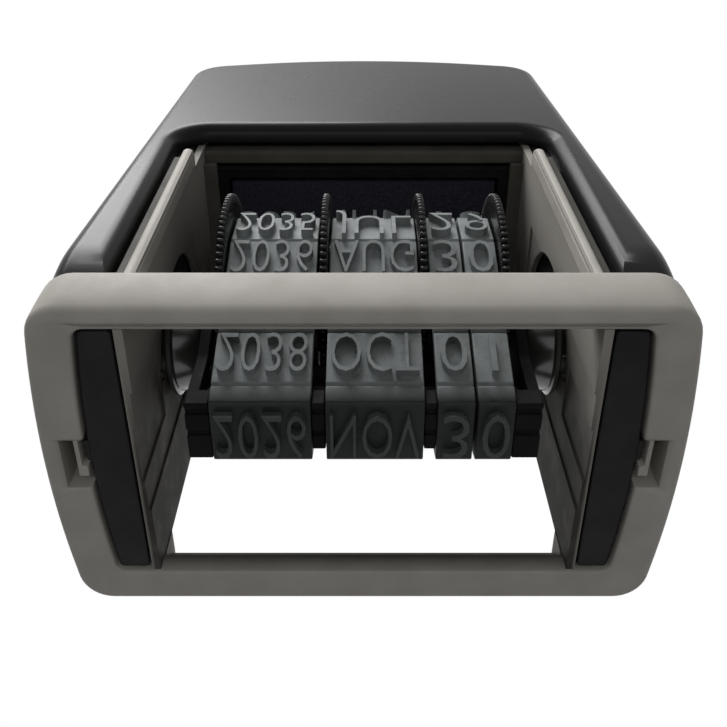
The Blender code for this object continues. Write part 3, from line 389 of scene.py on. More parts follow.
def skin(shape, rings):
    """Joins each ring to the next one by faces. The ends stay open."""
    for first, second in zip(rings, rings[1:]):
        count = len(first)
        for step in range(count):
            ahead = (step + 1) % count
            shape.faces.new((first[step], first[ahead], second[ahead], second[step]))


def lathe(profile, centre_y, centre_z, steps=ROUND_STEPS, tooth=None):
    """A ring-shaped solid about an axis along X, from a closed section of x, radius and tooth share."""
    shape = bmesh.new()
    rings = []
    for x, radius, toothed in profile:
        ring = []
        for step in range(steps):
            turn = math.tau * step / steps
            reach = radius - (toothed * tooth(step) if toothed else 0)
            y, z = centre_y + reach * math.cos(turn), centre_z + reach * math.sin(turn)
            ring.append(shape.verts.new((x, y, z)))
        rings.append(ring)
    skin(shape, rings + rings[:1])
    return shape


def rod_shape(x_low, x_high, radius, centre_y, centre_z, chamfer):
    """A round rod along X with chamfered ends."""
    core = radius / 8
    profile = [
        (x_low, core, 0), (x_low, radius - chamfer, 0), (x_low + chamfer, radius, 0),
        (x_high - chamfer, radius, 0), (x_high, radius - chamfer, 0), (x_high, core, 0),
    ]
    return lathe(profile, centre_y, centre_z)


def place_object(name, data):
    """A new object of the scene that shows this data."""
    placed = bpy.data.objects.new(name, data)
    bpy.context.scene.collection.objects.link(placed)
    return placed


def mesh_object(name, shape):
    """A new object of the scene with this shape for its mesh."""
    mesh = bpy.data.meshes.new(name)
    shape.to_mesh(mesh)
    shape.free()
    return place_object(name, mesh)


def solid_object(name, shape):
    """A new object of the scene with this closed shape, its faces turned outwards."""
    bmesh.ops.recalc_face_normals(shape, faces=shape.faces)
    return mesh_object(name, shape)


def add_piece(name, shape, finish, *stands_for, body, slot, cuts=(), bevel=0.0, segments=3, sharp=EDGE_ANGLE):
    """A shown piece: its mesh, material and body, then what is cut from it, and its rounded edges. The slot
    argument is not used.
    """
    piece = solid_object(name, shape)
    piece.data.materials.append(finish)
    piece.data.shade_smooth()
    piece.data.set_sharp_from_angle(angle=math.radians(sharp))
    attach(piece, body)
    if stands_for:
        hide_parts(*stands_for)
    for gap in cuts:
        cut(piece, gap)
    if bevel:
        round_edges(piece, bevel, segments)
    return piece


# Pieces of one body
foot_piece = partial(add_piece, body="foot", slot="grey_plastic")
cover_piece = partial(add_piece, body="cover", slot="gloss_black_plastic")
tray_piece = partial(add_piece, body="tray", slot="satin_black_plastic")
unit_piece = partial(add_piece, body="date_unit", slot="satin_black_plastic")


def foot_box(name, x_range, y_range, z_range, finish, bevel, segments=3):
    """A box-shaped piece of the foot frame."""
    foot_piece(name, oblong(x_range, y_range, z_range), finish, bevel=bevel, segments=segments)


def round_edges(piece, width, segments):
    """Rounds the piece's edges and keeps its flat faces flat in shading."""
    bevel = piece.modifiers.new("Rounded edges", "BEVEL")
    bevel.width = width
    bevel.segments = segments
    bevel.limit_method = "ANGLE"
    bevel.angle_limit = math.radians(EDGE_ANGLE)
    bevel.harden_normals = False
    piece.data.shade_smooth()
    piece.modifiers.new("Flat faces", "WEIGHTED_NORMAL").keep_sharp = True


def cut(piece, shape):
    """Cuts a shape away from the piece's mesh, so that the cut stays with the piece at every pose."""
    cutter = solid_object(piece.name + "_cutter", shape)
    modifier = piece.modifiers.new("Cut", "BOOLEAN")
    modifier.operation = "DIFFERENCE"
    modifier.solver = "EXACT"
    modifier.object = cutter
    whole, tool = piece.data, cutter.data
    piece.data = shown_mesh(piece)
    piece.modifiers.remove(modifier)
    bpy.data.objects.remove(cutter)
    bpy.data.meshes.remove(tool)
    bpy.data.meshes.remove(whole)


def shown_mesh(thing):
    """A new mesh of what the object shows, with its modifiers applied."""
    bpy.context.view_layer.update()
    return bpy.data.meshes.new_from_object(thing.evaluated_get(bpy.context.evaluated_depsgraph_get()))


# Materials

def feed(tree, node, inputs):
    """Links or sets these inputs of a node."""
    for key, value in inputs.items():
        if isinstance(value, bpy.types.NodeSocket):
            tree.links.new(value, node.inputs[key])
        else:
            node.inputs[key].default_value = value
    return node


def add_node(tree, kind, inputs, **settings):
    """A new shader node with these settings and inputs."""
    node = tree.nodes.new("ShaderNode" + kind)
    for name, value in settings.items():
        setattr(node, name, value)
    return feed(tree, node, inputs)


def new_material(name):
    """A material and its node tree."""
    made = bpy.data.materials.new(name)
    made.use_nodes = True
    return made, made.node_tree


def grey(tone):
    """A neutral colour."""
    return (tone, tone, tone)


def object_place(tree):
    """The point in the object's own metres."""
    return add_node(tree, "TexCoord", {}).outputs["Object"]


def object_axes(tree):
    """The point's own X, Y and Z."""
    return add_node(tree, "SeparateXYZ", {"Vector": object_place(tree)}).outputs


def noise_at(tree, scale, detail=3.0, roughness=0.55):
    """Noise in the object's own metres."""
    inputs = {"Vector": object_place(tree), "Scale": scale, "Detail": detail, "Roughness": roughness}
    return add_node(tree, "TexNoise", inputs).outputs["Fac"]


def two_tone(tree, factor, dark, light, low=0.35, high=0.65):
    """A ramp from a dark tone to a light one."""
    ramp = add_node(tree, "ValToRGB", {"Fac": factor})
    for stop, position, tone in zip(ramp.color_ramp.elements, (low, high), (dark, light)):
        stop.position = position
        stop.color = (*tone, 1)
    return ramp.outputs["Color"]


def ranged(tree, value, from_low, from_high, to_low=0.0, to_high=1.0):
    """The value carried from one range to another."""
    limits = {"From Min": from_low, "From Max": from_high, "To Min": to_low, "To Max": to_high}
    return add_node(tree, "MapRange", {"Value": value, **limits}).outputs["Result"]


def uneven(tree, noise, low, high):
    """Noise spread over a range of values."""
    return ranged(tree, noise, NOISE_LOW, NOISE_HIGH, low, high)


def worked_out(tree, operation, *values):
    """The result of a math node on these values."""
    return add_node(tree, "Math", dict(enumerate(values)), operation=operation).outputs["Value"]


def multiplied(tree, first, second):
    """The product of two colours."""
    inputs = {"Factor": 1.0, "A": first, "B": second}
    return add_node(tree, "Mix", inputs, data_type="RGBA", blend_type="MULTIPLY").outputs["Result"]


def surface(made, tree, color, rough, relief, depth, strength, specular=0.5, metallic=0.0):
    """The finished material, from its colour, its roughness and its fine relief."""
    bump = add_node(tree, "Bump", {"Distance": depth, "Strength": strength, "Height": relief})
    feed(tree, tree.nodes["Principled BSDF"], {
        "Base Color": color, "Roughness": rough, "Normal": bump.outputs["Normal"],
        "Specular IOR Level": specular, "Metallic": metallic,
    })
    return made


def moulded(made, tree, color, rough, specular, grain_depth=MOULD_GRAIN, grain=GRAIN_SCALE):
    """The finished material with a fine moulded grain."""
    return surface(made, tree, color, rough, noise_at(tree, grain, 2.0), grain_depth, 0.5, specular)


def plastic(name, dark, light, rough, *specular_and_grain, cloud=260.0):
    """Moulded plastic: a faint cloud in its colour, uneven gloss and a fine moulded grain."""
    made, tree = new_material(name)
    tone = two_tone(tree, noise_at(tree, cloud), dark, light)
    smears = noise_at(tree, cloud * 2.3, 4.0, 0.65)
    return moulded(made, tree, tone, uneven(tree, smears, *rough), *specular_and_grain)


def inked_wall(name, unshaded_tone, darkening_tone):
    """Grey plastic whose inner side is painted darker towards the rear, as painted shade where the date unit
    shades it.
    """
    made, tree = new_material(name)
    axes = object_axes(tree)
    side = worked_out(tree, "ABSOLUTE", axes["X"])
    inward = ranged(tree, side, WALL_OUTER_X, WALL_INNER_X + WALL_SHADE_EDGE)
    rearward = ranged(tree, axes["Y"], FRONT_Y + WALL_SHADE_SETBACK, WALL_SHADE_FULL_Y)
    blotches = noise_at(tree, 240.0, 4.0, 0.6)
    # Painted shade: dark on the inner face and towards the rear, unevened by noise
    darkening_mask = worked_out(tree, "MULTIPLY", worked_out(tree, "MULTIPLY", inward, rearward),
                     uneven(tree, blotches, 0.8, 1.15))
    tone = two_tone(tree, darkening_mask, unshaded_tone, darkening_tone, 0.0, 1.0)
    return moulded(made, tree, tone, uneven(tree, blotches, 0.5, 0.62), 0.03)


def band_rubber(name, ink_tone):
    """Slate-grey vulcanised rubber with a dusty bloom, and this tone of ink on the print face."""
    made, tree = new_material(name)
    clouds = noise_at(tree, 420.0, 4.0, 0.6)
    bloom = two_tone(tree, clouds, (0.17, 0.185, 0.185), (0.26, 0.28, 0.28), 0.3, 0.7)
    darkening_mask = noise_at(tree, 900.0, 5.0, 0.7)
    stain = two_tone(tree, darkening_mask, (0.62, 0.62, 0.64), grey(1.0), 0.30, 0.44)
    height = ranged(tree, object_axes(tree)["Z"], PRINT_FACE_Z + BAND_INK_FULL, PRINT_FACE_Z + BAND_INK_END)
    darkening_tone = two_tone(tree, height, grey(ink_tone), grey(1.0), 0.0, 1.0)
    tone = multiplied(tree, multiplied(tree, bloom, stain), darkening_tone)
    return surface(made, tree, tone, uneven(tree, darkening_mask, 0.42, 0.62), noise_at(tree, 5200.0, 3.0),
                   MOULD_GRAIN, 0.6, 0.14)


def steel():
    """Drawn steel with fine lengthwise streaks."""
    made, tree = new_material("drawn_steel")
    streaks = noise_at(tree, 1400.0, 4.0, 0.7)
    tone = two_tone(tree, streaks, (0.42, 0.42, 0.43), (0.62, 0.62, 0.62))
    rough = uneven(tree, streaks, 0.22, 0.4)
    return surface(made, tree, tone, rough, streaks, STREAK_DEPTH, 0.3, metallic=1.0)


def felt():
    """Dark inked felt with short tangled fibres."""
    made, tree = new_material("inked_felt")
    fibres = noise_at(tree, 3800.0, 6.0, 0.8)
    tone = two_tone(tree, fibres, (0.010, 0.010, 0.016), (0.035, 0.036, 0.05))
    return surface(made, tree, tone, uneven(tree, fibres, 0.75, 0.95), fibres, FIBRE_DEPTH, 0.8, 0.1)


# Camera, light and floor

def make_camera():
    """The camera at the photograph's angle, below the stamp's front."""
    data = bpy.data.cameras.new("Camera")
    data.lens = CAMERA_LENS
    data.clip_start = 1.0 * MM
    camera = place_object("Camera", data)
    camera.location = CAMERA_PLACE
    camera.rotation_euler = (math.radians(CAMERA_TILT), 0, 0)
    bpy.context.scene.camera = camera


def area_light(name, place, target, size, power):
    """A soft lamp at this place, turned to its target."""
    data = bpy.data.lights.new(name, "AREA")
    data.size = size
    data.energy = power
    lamp = place_object(name, data)
    lamp.location = place
    lamp.rotation_euler = (target - place).to_track_quat("-Z", "Y").to_euler()
    return data


def seen_ray(tree):
    """One for the rays that show the background: from the camera, in gloss and through glass."""
    path = add_node(tree, "LightPath", {}).outputs
    shown = worked_out(tree, "MAXIMUM", path["Is Camera Ray"], path["Is Glossy Ray"])
    return worked_out(tree, "MAXIMUM", shown, path["Is Transmission Ray"])


def mixed(tree, share, first, second):
    """One shader passing into another by this share."""
    return add_node(tree, "MixShader", {"Fac": share, 1: first, 2: second}).outputs["Shader"]


def make_light():
    """Soft lamps in front and below, a plain room, and white behind the stamp and in its gloss."""
    area_light("Key", KEY_PLACE, KEY_TARGET, KEY_SIZE, KEY_POWER)
    under = area_light("Under", UNDER_PLACE, UNDER_TARGET, UNDER_LENGTH, UNDER_POWER)
    under.shape = "RECTANGLE"
    under.size_y = UNDER_DEPTH
    world = bpy.data.worlds.new("Room")
    bpy.context.scene.world = world
    world.use_nodes = True
    tree = world.node_tree
    room = feed(tree, tree.nodes["Background"], {"Color": (*grey(1), 1), "Strength": WORLD_LIGHT})
    white = add_node(tree, "Background", {"Color": (*grey(1), 1), "Strength": 1.0})
    sky = mixed(tree, seen_ray(tree), room.outputs["Background"], white.outputs["Background"])
    feed(tree, tree.nodes["World Output"], {"Surface": sky})


def make_floor():
    """A plain pale floor. From below, where the camera stands, it isn't seen."""
    shape = bmesh.new()
    bmesh.ops.create_grid(shape, x_segments=1, y_segments=1, size=FLOOR_SIZE / 2)
    floor = mesh_object("floor", shape)
    made, tree = new_material("floor_paper")
    tone = two_tone(tree, noise_at(tree, 40.0), (0.86, 0.86, 0.85), (0.9, 0.9, 0.89))
    paper = feed(tree, tree.nodes["Principled BSDF"], {"Base Color": tone, "Roughness": 0.8})
    white = add_node(tree, "Emission", {})
    clear = add_node(tree, "BsdfTransparent", {})
    share = worked_out(tree, "MULTIPLY", seen_ray(tree), FLOOR_WHITE)
    pale = mixed(tree, share, paper.outputs["BSDF"], white.outputs["Emission"])
    below = add_node(tree, "NewGeometry", {}).outputs["Backfacing"]
    feed(tree, tree.nodes["Material Output"], {"Surface": mixed(tree, below, pale, clear.outputs["BSDF"])})
    floor.data.materials.append(made)
    floor.visible_diffuse = False
    floor.visible_glossy = False
    floor.visible_shadow = False


# Foot frame

def quarter_round(radius):
    """A quarter round as pairs of inset and depth, from the side face to the end face."""
    return arc((radius, radius), radius, math.pi, 1.5 * math.pi, ARC_STEPS)


def ring_shape():
    """The foot ring: every edge of its outside and its opening is a round."""
    shape = bmesh.new()
    half = FOOT_HIGH.x

    def outer(inset, z):
        """The outside at this height, drawn in by inset, with the front's lower edge rounded more."""
        outline = barrel(half - inset, FRONT_Y + inset, -FRONT_Y - inset, FOOT_SIDE_RADIUS - inset,
                         FOOT_CORNER_RADIUS - inset)
        share = max(0, 1 - z / FOOT_FRONT_ROUND_HEIGHT)
        lean = max(0, FOOT_FRONT_ROUND * (1 - math.sqrt(1 - share ** 2)) - inset)
        ring = []
        for x, y in outline:
            front_share = min(1, max(0, (1 - abs(x) / half) / FOOT_FRONT_END_SHARE)) if y < 0 else 0
            ring.append(shape.verts.new((x, y + lean * front_share, z)))
        return ring

    def inner(inset, z):
        """The opening at this height, widened by inset."""
        outline = barrel(OPENING_HALF + inset, OPENING_FRONT_Y - inset, OPENING_REAR_Y + inset,
                         OPENING_SIDE_RADIUS + inset, OPENING_CORNER + inset)
        return [shape.verts.new((*point, z)) for point in outline]

    rings = [outer(inset, depth) for inset, depth in reversed(quarter_round(FOOT_BOTTOM_ROUND))]
    rise = FOOT_FRONT_ROUND_HEIGHT - FOOT_BOTTOM_ROUND
    rings += [outer(0, FOOT_BOTTOM_ROUND + rise * step / ARC_STEPS) for step in range(1, ARC_STEPS + 1)]
    rings += [outer(inset, FOOT_HEIGHT - depth) for inset, depth in quarter_round(FOOT_TOP_ROUND)]
    rings += [inner(inset, FOOT_HEIGHT - depth) for inset, depth in reversed(quarter_round(OPENING_ROUND))]
    rings += [inner(inset, depth) for inset, depth in quarter_round(OPENING_ROUND)]
    skin(shape, rings + rings[:1])
    return shape


def make_foot(ring_finish, shade_painted_finish, shade_painted_wall_finish):
    """The foot frame: the ring with its flange and notches, and all that stands on it."""
    flange = (REAR_RIM_Y - FOOT_REAR_BAR, REAR_RIM_Y), REAR_FLANGE_HEIGHT
    rim = (REAR_RIM_Y - SEAT_GAP, -FRONT_Y + OVERRUN), REAR_RIM_HEIGHT
    cuts = [oblong((-WALL_INNER_X, WALL_INNER_X), y_range, (floor, FOOT_HEIGHT + OVERRUN))
            for y_range, floor in (flange, rim)]
    notch = (NOTCH_Y, NOTCH_Y + NOTCH_LENGTH), (-SEAT_GAP, FOOT_HEIGHT + SEAT_GAP)
    cuts += [oblong(across(side, OPENING_HALF - SEAT_GAP, OPENING_HALF + NOTCH_REACH), *notch)
             for side in (-1, 1)]
    foot_piece("foot_ring", ring_shape(), ring_finish, "foot_frame", cuts=cuts)
    for label, side in SIDES:
        make_keeper(f"{label}_keeper", side, ring_finish)
        make_wall(f"{label}_wall", side, shade_painted_wall_finish)
        make_posts(label, side, ring_finish, shade_painted_finish)
        make_ledge(f"{label}_ledge", side, shade_painted_finish)
    make_crossbars(shade_painted_finish)
    make_deck(shade_painted_finish)


def make_keeper(name, side, finish):
    """The thin L-shaped lip that stands in the notch."""
    near = OPENING_HALF + KEEPER_OFFSET
    far = near + KEEPER_THICKNESS
    low_y, high_y = NOTCH_Y - SEAT_GAP, NOTCH_Y + KEEPER_LENGTH
    lug_y = high_y - KEEPER_LUG
    outline = [
        (near, low_y), (far, low_y), (far, high_y), (OPENING_HALF, high_y), (OPENING_HALF, lug_y),
        (near, lug_y),
    ]
    shape = prism([(side * x, y) for x, y in outline], SEAT_GAP / 4, FOOT_HEIGHT - SEAT_GAP / 4, "Z")
    foot_piece(name, shape, finish, bevel=KEEPER_ROUND)


def wall_outline():
    """The side wall seen from the side: full depth below, and set back behind the cover's plate above."""
    low = POST_Y + FACE_STEP
    toe = low + WALL_FOOT_SETBACK
    heel_z = FOOT_HEIGHT - SEAT_GAP
    corners = [
        (WALL_REAR_Y, WALL_FOOT_Z), (WALL_REAR_Y, DECK_TOP_Z), (WALL_UPPER_Y, DECK_TOP_Z),
        (WALL_UPPER_Y, WALL_STEP_Z), (low, WALL_STEP_Z), (low, heel_z), (toe, heel_z), (toe, WALL_FOOT_Z),
    ]
    soft = WALL_CORNER
    return rounded(corners, [0, soft, soft, 0, soft, 0, 0, 0], steps=4)


def peg_place(share):
    """Where the peg is, in the plane of the wall, when the unit has turned this share of half a turn."""
    turn = math.pi * share
    return Vector((
        PIVOT_Y - PEG_ORBIT * math.sin(turn),
        PIVOT_Z + COVER_TRAVEL * share - PEG_ORBIT * math.cos(turn),
    ))


def peg_groove():
    """The curved groove in the wall that the unit's peg runs in."""
    half = PEG_RADIUS + SEAT_GAP
    left, right = [], []
    for step in range(GROOVE_STEPS + 1):
        share = (1 + 2 * GROOVE_END_SHARE) * step / GROOVE_STEPS - GROOVE_END_SHARE
        near, far = peg_place(share - GROOVE_NEAR_SHARE), peg_place(share + GROOVE_NEAR_SHARE)
        along = (far - near).normalized()
        normal = Vector((-along.y, along.x))
        left.append(peg_place(share) + normal * half)
        right.append(peg_place(share) - normal * half)
    return left + right[::-1]


def make_wall(name, side, finish):
    """A side wall with two shallow steps in its inner face, the pin's slot and the peg's curved slot."""
    start = WALL_INNER_X - OVERRUN
    cuts = []
    for low_y, length, depth, top_z in (
        (RECESS_Y, RECESS_LENGTH, RECESS_DEPTH, RECESS_TOP_Z),
        (CHANNEL_Y, CHANNEL_LENGTH, CHANNEL_DEPTH, CHANNEL_TOP_Z),
    ):
        x_range = across(side, start, WALL_INNER_X + depth)
        cuts.append(oblong(x_range, (low_y, low_y + length), (-OVERRUN, top_z)))
    half = PIN_RADIUS + SEAT_GAP + FACE_STEP
    pin_slot = arc((PIVOT_Y, PIVOT_Z + COVER_TRAVEL), half, 0, math.pi, SLOT_STEPS)
    pin_slot += arc((PIVOT_Y, PIVOT_Z), half, math.pi, math.tau, SLOT_STEPS)
    low, high = across(side, start, WALL_OUTER_X + OVERRUN)
    cuts += [prism(outline, low, high, "X") for outline in (pin_slot, peg_groove())]
    wall = prism(wall_outline(), *across(side, WALL_INNER_X, WALL_OUTER_X), "X")
    foot_piece(name, wall, finish, cuts=cuts, bevel=WALL_ROUND, segments=2)


def make_posts(label, side, finish, shade_painted_flange_finish):
    """The round nose at a wall's front, the flange set back beside it, and the post at its rear."""
    rear = POST_Y + POST_DEPTH
    foot_z = FOOT_HEIGHT - EMBED
    near, far = side * (WALL_INNER_X - FACE_STEP), side * (WALL_INNER_X + POST_NOSE_WIDTH)
    nose = rounded(((near, rear), (near, POST_Y), (far, POST_Y), (far, rear)),
                   [0, POST_NOSE_ROUND, POST_NOSE_ROUND, 0])
    foot_piece(f"{label}_front_post", prism(nose, foot_z, POST_TOP_Z, "Z"), finish, bevel=POST_END_ROUND)
    # The flange takes the painted-shade grey
    foot_box(f"{label}_front_flange", across(side, WALL_OUTER_X, POST_OUTER_X),
             (POST_Y + POST_FLANGE_SETBACK, rear - FACE_STEP), (foot_z, POST_TOP_Z - FACE_STEP),
             shade_painted_flange_finish, LEDGE_ROUND)
    foot_box(f"{label}_rear_post", across(side, WALL_OUTER_X - REAR_POST_INSET, POST_OUTER_X),
             (OPENING_REAR_Y, OPENING_REAR_Y + REAR_POST_DEPTH), (foot_z, POST_TOP_Z), finish, BAR_ROUND)


def make_ledge(name, side, finish):
    """The ledge that the ink tray runs on."""
    top_z = TRAY_LOW.z - SEAT_GAP
    foot_box(name, across(side, WALL_INNER_X - LEDGE_WIDTH, WALL_INNER_X + SEAT_GAP),
             (CROSSBAR_Y + CROSSBAR_DEPTH - SEAT_GAP, WALL_REAR_Y - SEAT_GAP), (top_z - LEDGE_HEIGHT, top_z),
             finish, LEDGE_ROUND)


def make_crossbars(finish):
    """The deep bar between the walls at the front, and the slim one over the tray at the rear."""
    # Both crossbars take the painted-shade grey
    foot_box("front_crossbar", BETWEEN_WALLS, (CROSSBAR_Y, CROSSBAR_Y + CROSSBAR_DEPTH),
             (CROSSBAR_Z, CROSSBAR_Z + CROSSBAR_HEIGHT), finish, CROSSBAR_ROUND, segments=4)
    top_z = PAD_LOW.z - SEAT_GAP
    foot_box("rear_crossbar", BETWEEN_WALLS, (WALL_REAR_Y - REAR_BAR_DEPTH, WALL_REAR_Y - FACE_STEP),
             (top_z - LEDGE_HEIGHT, top_z), finish, BAR_ROUND)


def make_deck(finish):
    """The deck under the return spring, with its stiffening ribs and the spring's post."""
    foot_box("spring_deck", BETWEEN_WALLS, (CROSSBAR_Y, WALL_REAR_Y),
             (DECK_TOP_Z - DECK_THICKNESS, DECK_TOP_Z), finish, BAR_ROUND)
    foot_z = DECK_TOP_Z - EMBED
    for label, side in SIDES:
        for number, place in enumerate(DECK_RIB_PLACES):
            foot_box(f"{label}_deck_rib_{number + 1}", across(side, place, place + DECK_RIB_THICKNESS),
                     (CROSSBAR_Y + EMBED, WALL_REAR_Y - EMBED), (foot_z, DECK_TOP_Z + DECK_RIB_HEIGHT),
                     finish, DECK_RIB_ROUND)
    post = prism(circle((0, 0), SPRING_POST_RADIUS), foot_z, DECK_TOP_Z + SPRING_POST_HEIGHT, "Z")
    foot_piece("spring_post", post, finish, bevel=CROSSBAR_ROUND)


# Cover

def cover_side_x(z):
    """Half the cover's width at this height."""
    return COVER_FOOT_HALF - COVER_TAPER * (z - COVER_FOOT_Z) / (COVER_SHOULDER_Z - COVER_FOOT_Z)


def tuck(z):
    """How far the cover's front and rear faces draw in at this height, near its lower edge."""
    share = max(0, 1 - (z - COVER_FOOT_Z) / COVER_TUCK_HEIGHT)
    return COVER_TUCK * share ** 2


def crown_radius(half):
    """The radius of the arched top between two shoulders."""
    return COVER_CROWN_SHARE * math.hypot(half, COVER_CROWN_RISE) * half / COVER_CROWN_RISE


def cover_outline(inset):
    """The cover's front outline: straight tapered sides, round shoulders and an arched top."""
    steps = [COVER_FOOT_Z + COVER_TUCK_HEIGHT * step / ARC_STEPS for step in range(ARC_STEPS + 1)]
    right = [(cover_side_x(z) - inset, z) for z in steps]
    shoulder = (cover_side_x(COVER_SHOULDER_Z) - inset, COVER_SHOULDER_Z - inset)
    left = [(-x, z) for x, z in [shoulder] + right[::-1]]
    soft = COVER_SHOULDER_RADIUS - inset
    flat = [0] * len(right)
    top = (0, shoulder[1] + COVER_CROWN_RISE)
    radii = flat + [soft, crown_radius(shoulder[0]), soft] + flat
    return rounded(right + [shoulder, top] + left, radii, steps=16)


def close_level(shape, ring):
    """Closes a ring that is alike left and right by flat level strips from side to side."""
    last = len(ring) - 1
    for step in range(last // 2):
        strip = [ring[step], ring[step + 1], ring[last - step - 1], ring[last - step]]
        shape.faces.new(strip if step + 1 != last - step - 1 else strip[:2] + strip[3:])


def shell_shape():
    """The cover's solid outside: front and rear edges rounded, and drawn in above the foot."""
    shape = bmesh.new()
    half_depth = COVER_HIGH.y
    front = [(inset, half_depth - depth) for depth, inset in quarter_round(COVER_EDGE_ROUND)]
    sections = [(inset, -y) for inset, y in front] + [(inset, y) for inset, y in reversed(front)]
    rings = []
    for inset, y in sections:
        toward = 1 if y > 0 else -1
        rings.append([
            shape.verts.new((point.x, y - toward * tuck(point.y), point.y)) for point in cover_outline(inset)
        ])
    skin(shape, rings)
    close_level(shape, rings[0])
    close_level(shape, rings[-1])
    return shape


def cavity_outline():
    """The hollow inside the cover, whose sides taper with it."""
    foot = COVER_FOOT_HALF - COVER_SIDE_WALL
    head = cover_side_x(COVER_SHOULDER_Z) - COVER_SIDE_WALL
    shoulder_z = COVER_SHOULDER_Z - COVER_ROOF
    soft = COVER_SHOULDER_RADIUS - COVER_ROOF / 2
    corners = [
        (-foot, COVER_FOOT_Z - OVERRUN), (foot, COVER_FOOT_Z - OVERRUN), (head, shoulder_z),
        (0, shoulder_z + COVER_CROWN_RISE), (-head, shoulder_z),
    ]
    return rounded(corners, [0, 0, soft, crown_radius(head), soft])


def window_outline(top, grow):
    """The window seen from the front, widened all round by grow."""
    half = WINDOW_HALF + grow
    soft = WINDOW_CORNER + grow
    corners = [(-half, -OVERRUN), (half, -OVERRUN), (half, top + grow), (-half, top + grow)]
    return rounded(corners, [0, 0, soft, soft], steps=12)


def window_shape(top, side):
    """What is cut from the front (-1) or rear (1) plate, flared so that the window's edge is rolled."""
    shape = bmesh.new()
    sections = [(WINDOW_ROUND, COVER_HIGH.y + OVERRUN)]
    sections += [(grow, COVER_HIGH.y - depth) for depth, grow in quarter_round(WINDOW_ROUND)]
    sections.append((0, COVER_HIGH.y - COVER_PLATE - SEAT_GAP))
    rings = [
        [shape.verts.new((point.x, side * y, point.y)) for point in window_outline(top, grow)]
        for grow, y in sections
    ]
    skin(shape, rings)
    shape.faces.new(rings[0])
    shape.faces.new(rings[-1])
    return shape


def leg_outline(side):
    """The slide leg seen from above: straight inside, and bowed outside like the foot ring's opening."""
    front_y = OPENING_FRONT_Y + LEG_END_GAP
    rear_y = OPENING_REAR_Y - LEG_END_GAP
    middle_y = (front_y + rear_y) / 2
    radius = OPENING_SIDE_RADIUS - LEG_GAP
    points = [(LEG_INNER_X, rear_y), (LEG_INNER_X, front_y)]
    for step in range(SIDE_STEPS + 1):
        y = front_y + (rear_y - front_y) * step / SIDE_STEPS
        points.append((OPENING_HALF - LEG_GAP - radius + math.sqrt(radius ** 2 - (y - middle_y) ** 2), y))
    soft = [SEAT_GAP] * 3 + [0] * (SIDE_STEPS - 1) + [SEAT_GAP]
    return rounded([(side * x, y) for x, y in points], soft, steps=3)


def make_cover(gloss, satin):
    """The glossy shell with its windows, the two slide legs with their catches, and the spring cup."""
    inner_half = COVER_HIGH.y - COVER_PLATE
    hollow = prism(cavity_outline(), -inner_half, inner_half, "Y")
    windows = [window_shape(WINDOW_TOP, -1), window_shape(REAR_WINDOW_TOP, 1)]
    cover_piece("cover_shell", shell_shape(), gloss, "cover", cuts=[hollow, *windows], bevel=SHELL_ROUND,
                segments=2)
    for label, side in SIDES:
        leg = prism(leg_outline(side), LEG_FOOT_Z, LEG_TOP_Z, "Z")
        low, high = across(side, LEG_INNER_X - OVERRUN / 2, LEG_INNER_X + PIN_REACH + SEAT_GAP)
        hole = prism(circle((PIVOT_Y, PIVOT_Z), PIN_RADIUS + RUNNING_GAP), low, high, "X")
        cover_piece(f"{label}_slide_leg", leg, satin, cuts=[hole], bevel=BAR_ROUND, segments=2)
        make_catch(f"{label}_catch", side, satin)
    high_z = SPRING_HIGH.z + SEAT_GAP
    low_z = high_z - CUP_HEIGHT
    cup = prism(circle((0, 0), CUP_RADIUS + CUP_WALL), low_z, high_z, "Z")
    hollow = prism(circle((0, 0), CUP_RADIUS), low_z - OVERRUN, high_z - RUNNING_GAP, "Z")
    cover_piece("spring_cup", cup, satin, cuts=[hollow], bevel=BAR_ROUND)


def make_catch(name, side, satin):
    """The ridged catch on the outside of a leg, in the foot ring's notch."""
    low_y = NOTCH_Y + SEAT_GAP
    root = OPENING_HALF - LEG_GAP - SEAT_GAP
    outer = OPENING_HALF - LEG_GAP + CATCH_REACH
    outline = [(root, low_y)]
    for step in range(CATCH_RIDGES * ARC_STEPS + 1):
        share = step / ARC_STEPS
        wave = abs(math.sin(math.pi * share))
        outline.append((outer - CATCH_RIDGE * (1 - wave), low_y + CATCH_LENGTH / CATCH_RIDGES * share))
    outline.append((root, low_y + CATCH_LENGTH))
    outline = [(side * x, y) for x, y in outline]
    shape = prism(outline, LEG_FOOT_Z + CATCH_LIFT, COVER_FOOT_Z + SEAT_GAP, "Z")
    cover_piece(name, shape, satin)


# Tray, pad and spring

def make_tray(finish):
    """The ink tray, open below, with two grip ribs on its rear end."""
    low, high = TRAY_LOW, TRAY_HIGH
    end_y = high.y - GRIP_REACH
    body = oblong((low.x, high.x), (low.y, end_y), (low.z, high.z))
    hollow = oblong((PAD_LOW.x - SEAT_GAP, PAD_HIGH.x + SEAT_GAP),
                    (PAD_LOW.y - SEAT_GAP, PAD_HIGH.y + SEAT_GAP), (low.z - OVERRUN, PAD_HIGH.z + SEAT_GAP))
    tray_piece("tray_body", body, finish, "ink_tray", cuts=[hollow], bevel=TRAY_ROUND)
    for number, lift in enumerate((-GRIP_OFFSET, GRIP_OFFSET), start=1):
        centre = (low.z + high.z) / 2 + lift
        z_range = (centre - GRIP_HALF, centre + GRIP_HALF)
        grip = oblong((low.x / 2, high.x / 2), (end_y - EMBED, high.y), z_range)
        tray_piece(f"tray_grip_{number}", grip, finish, bevel=TRAY_ROUND)


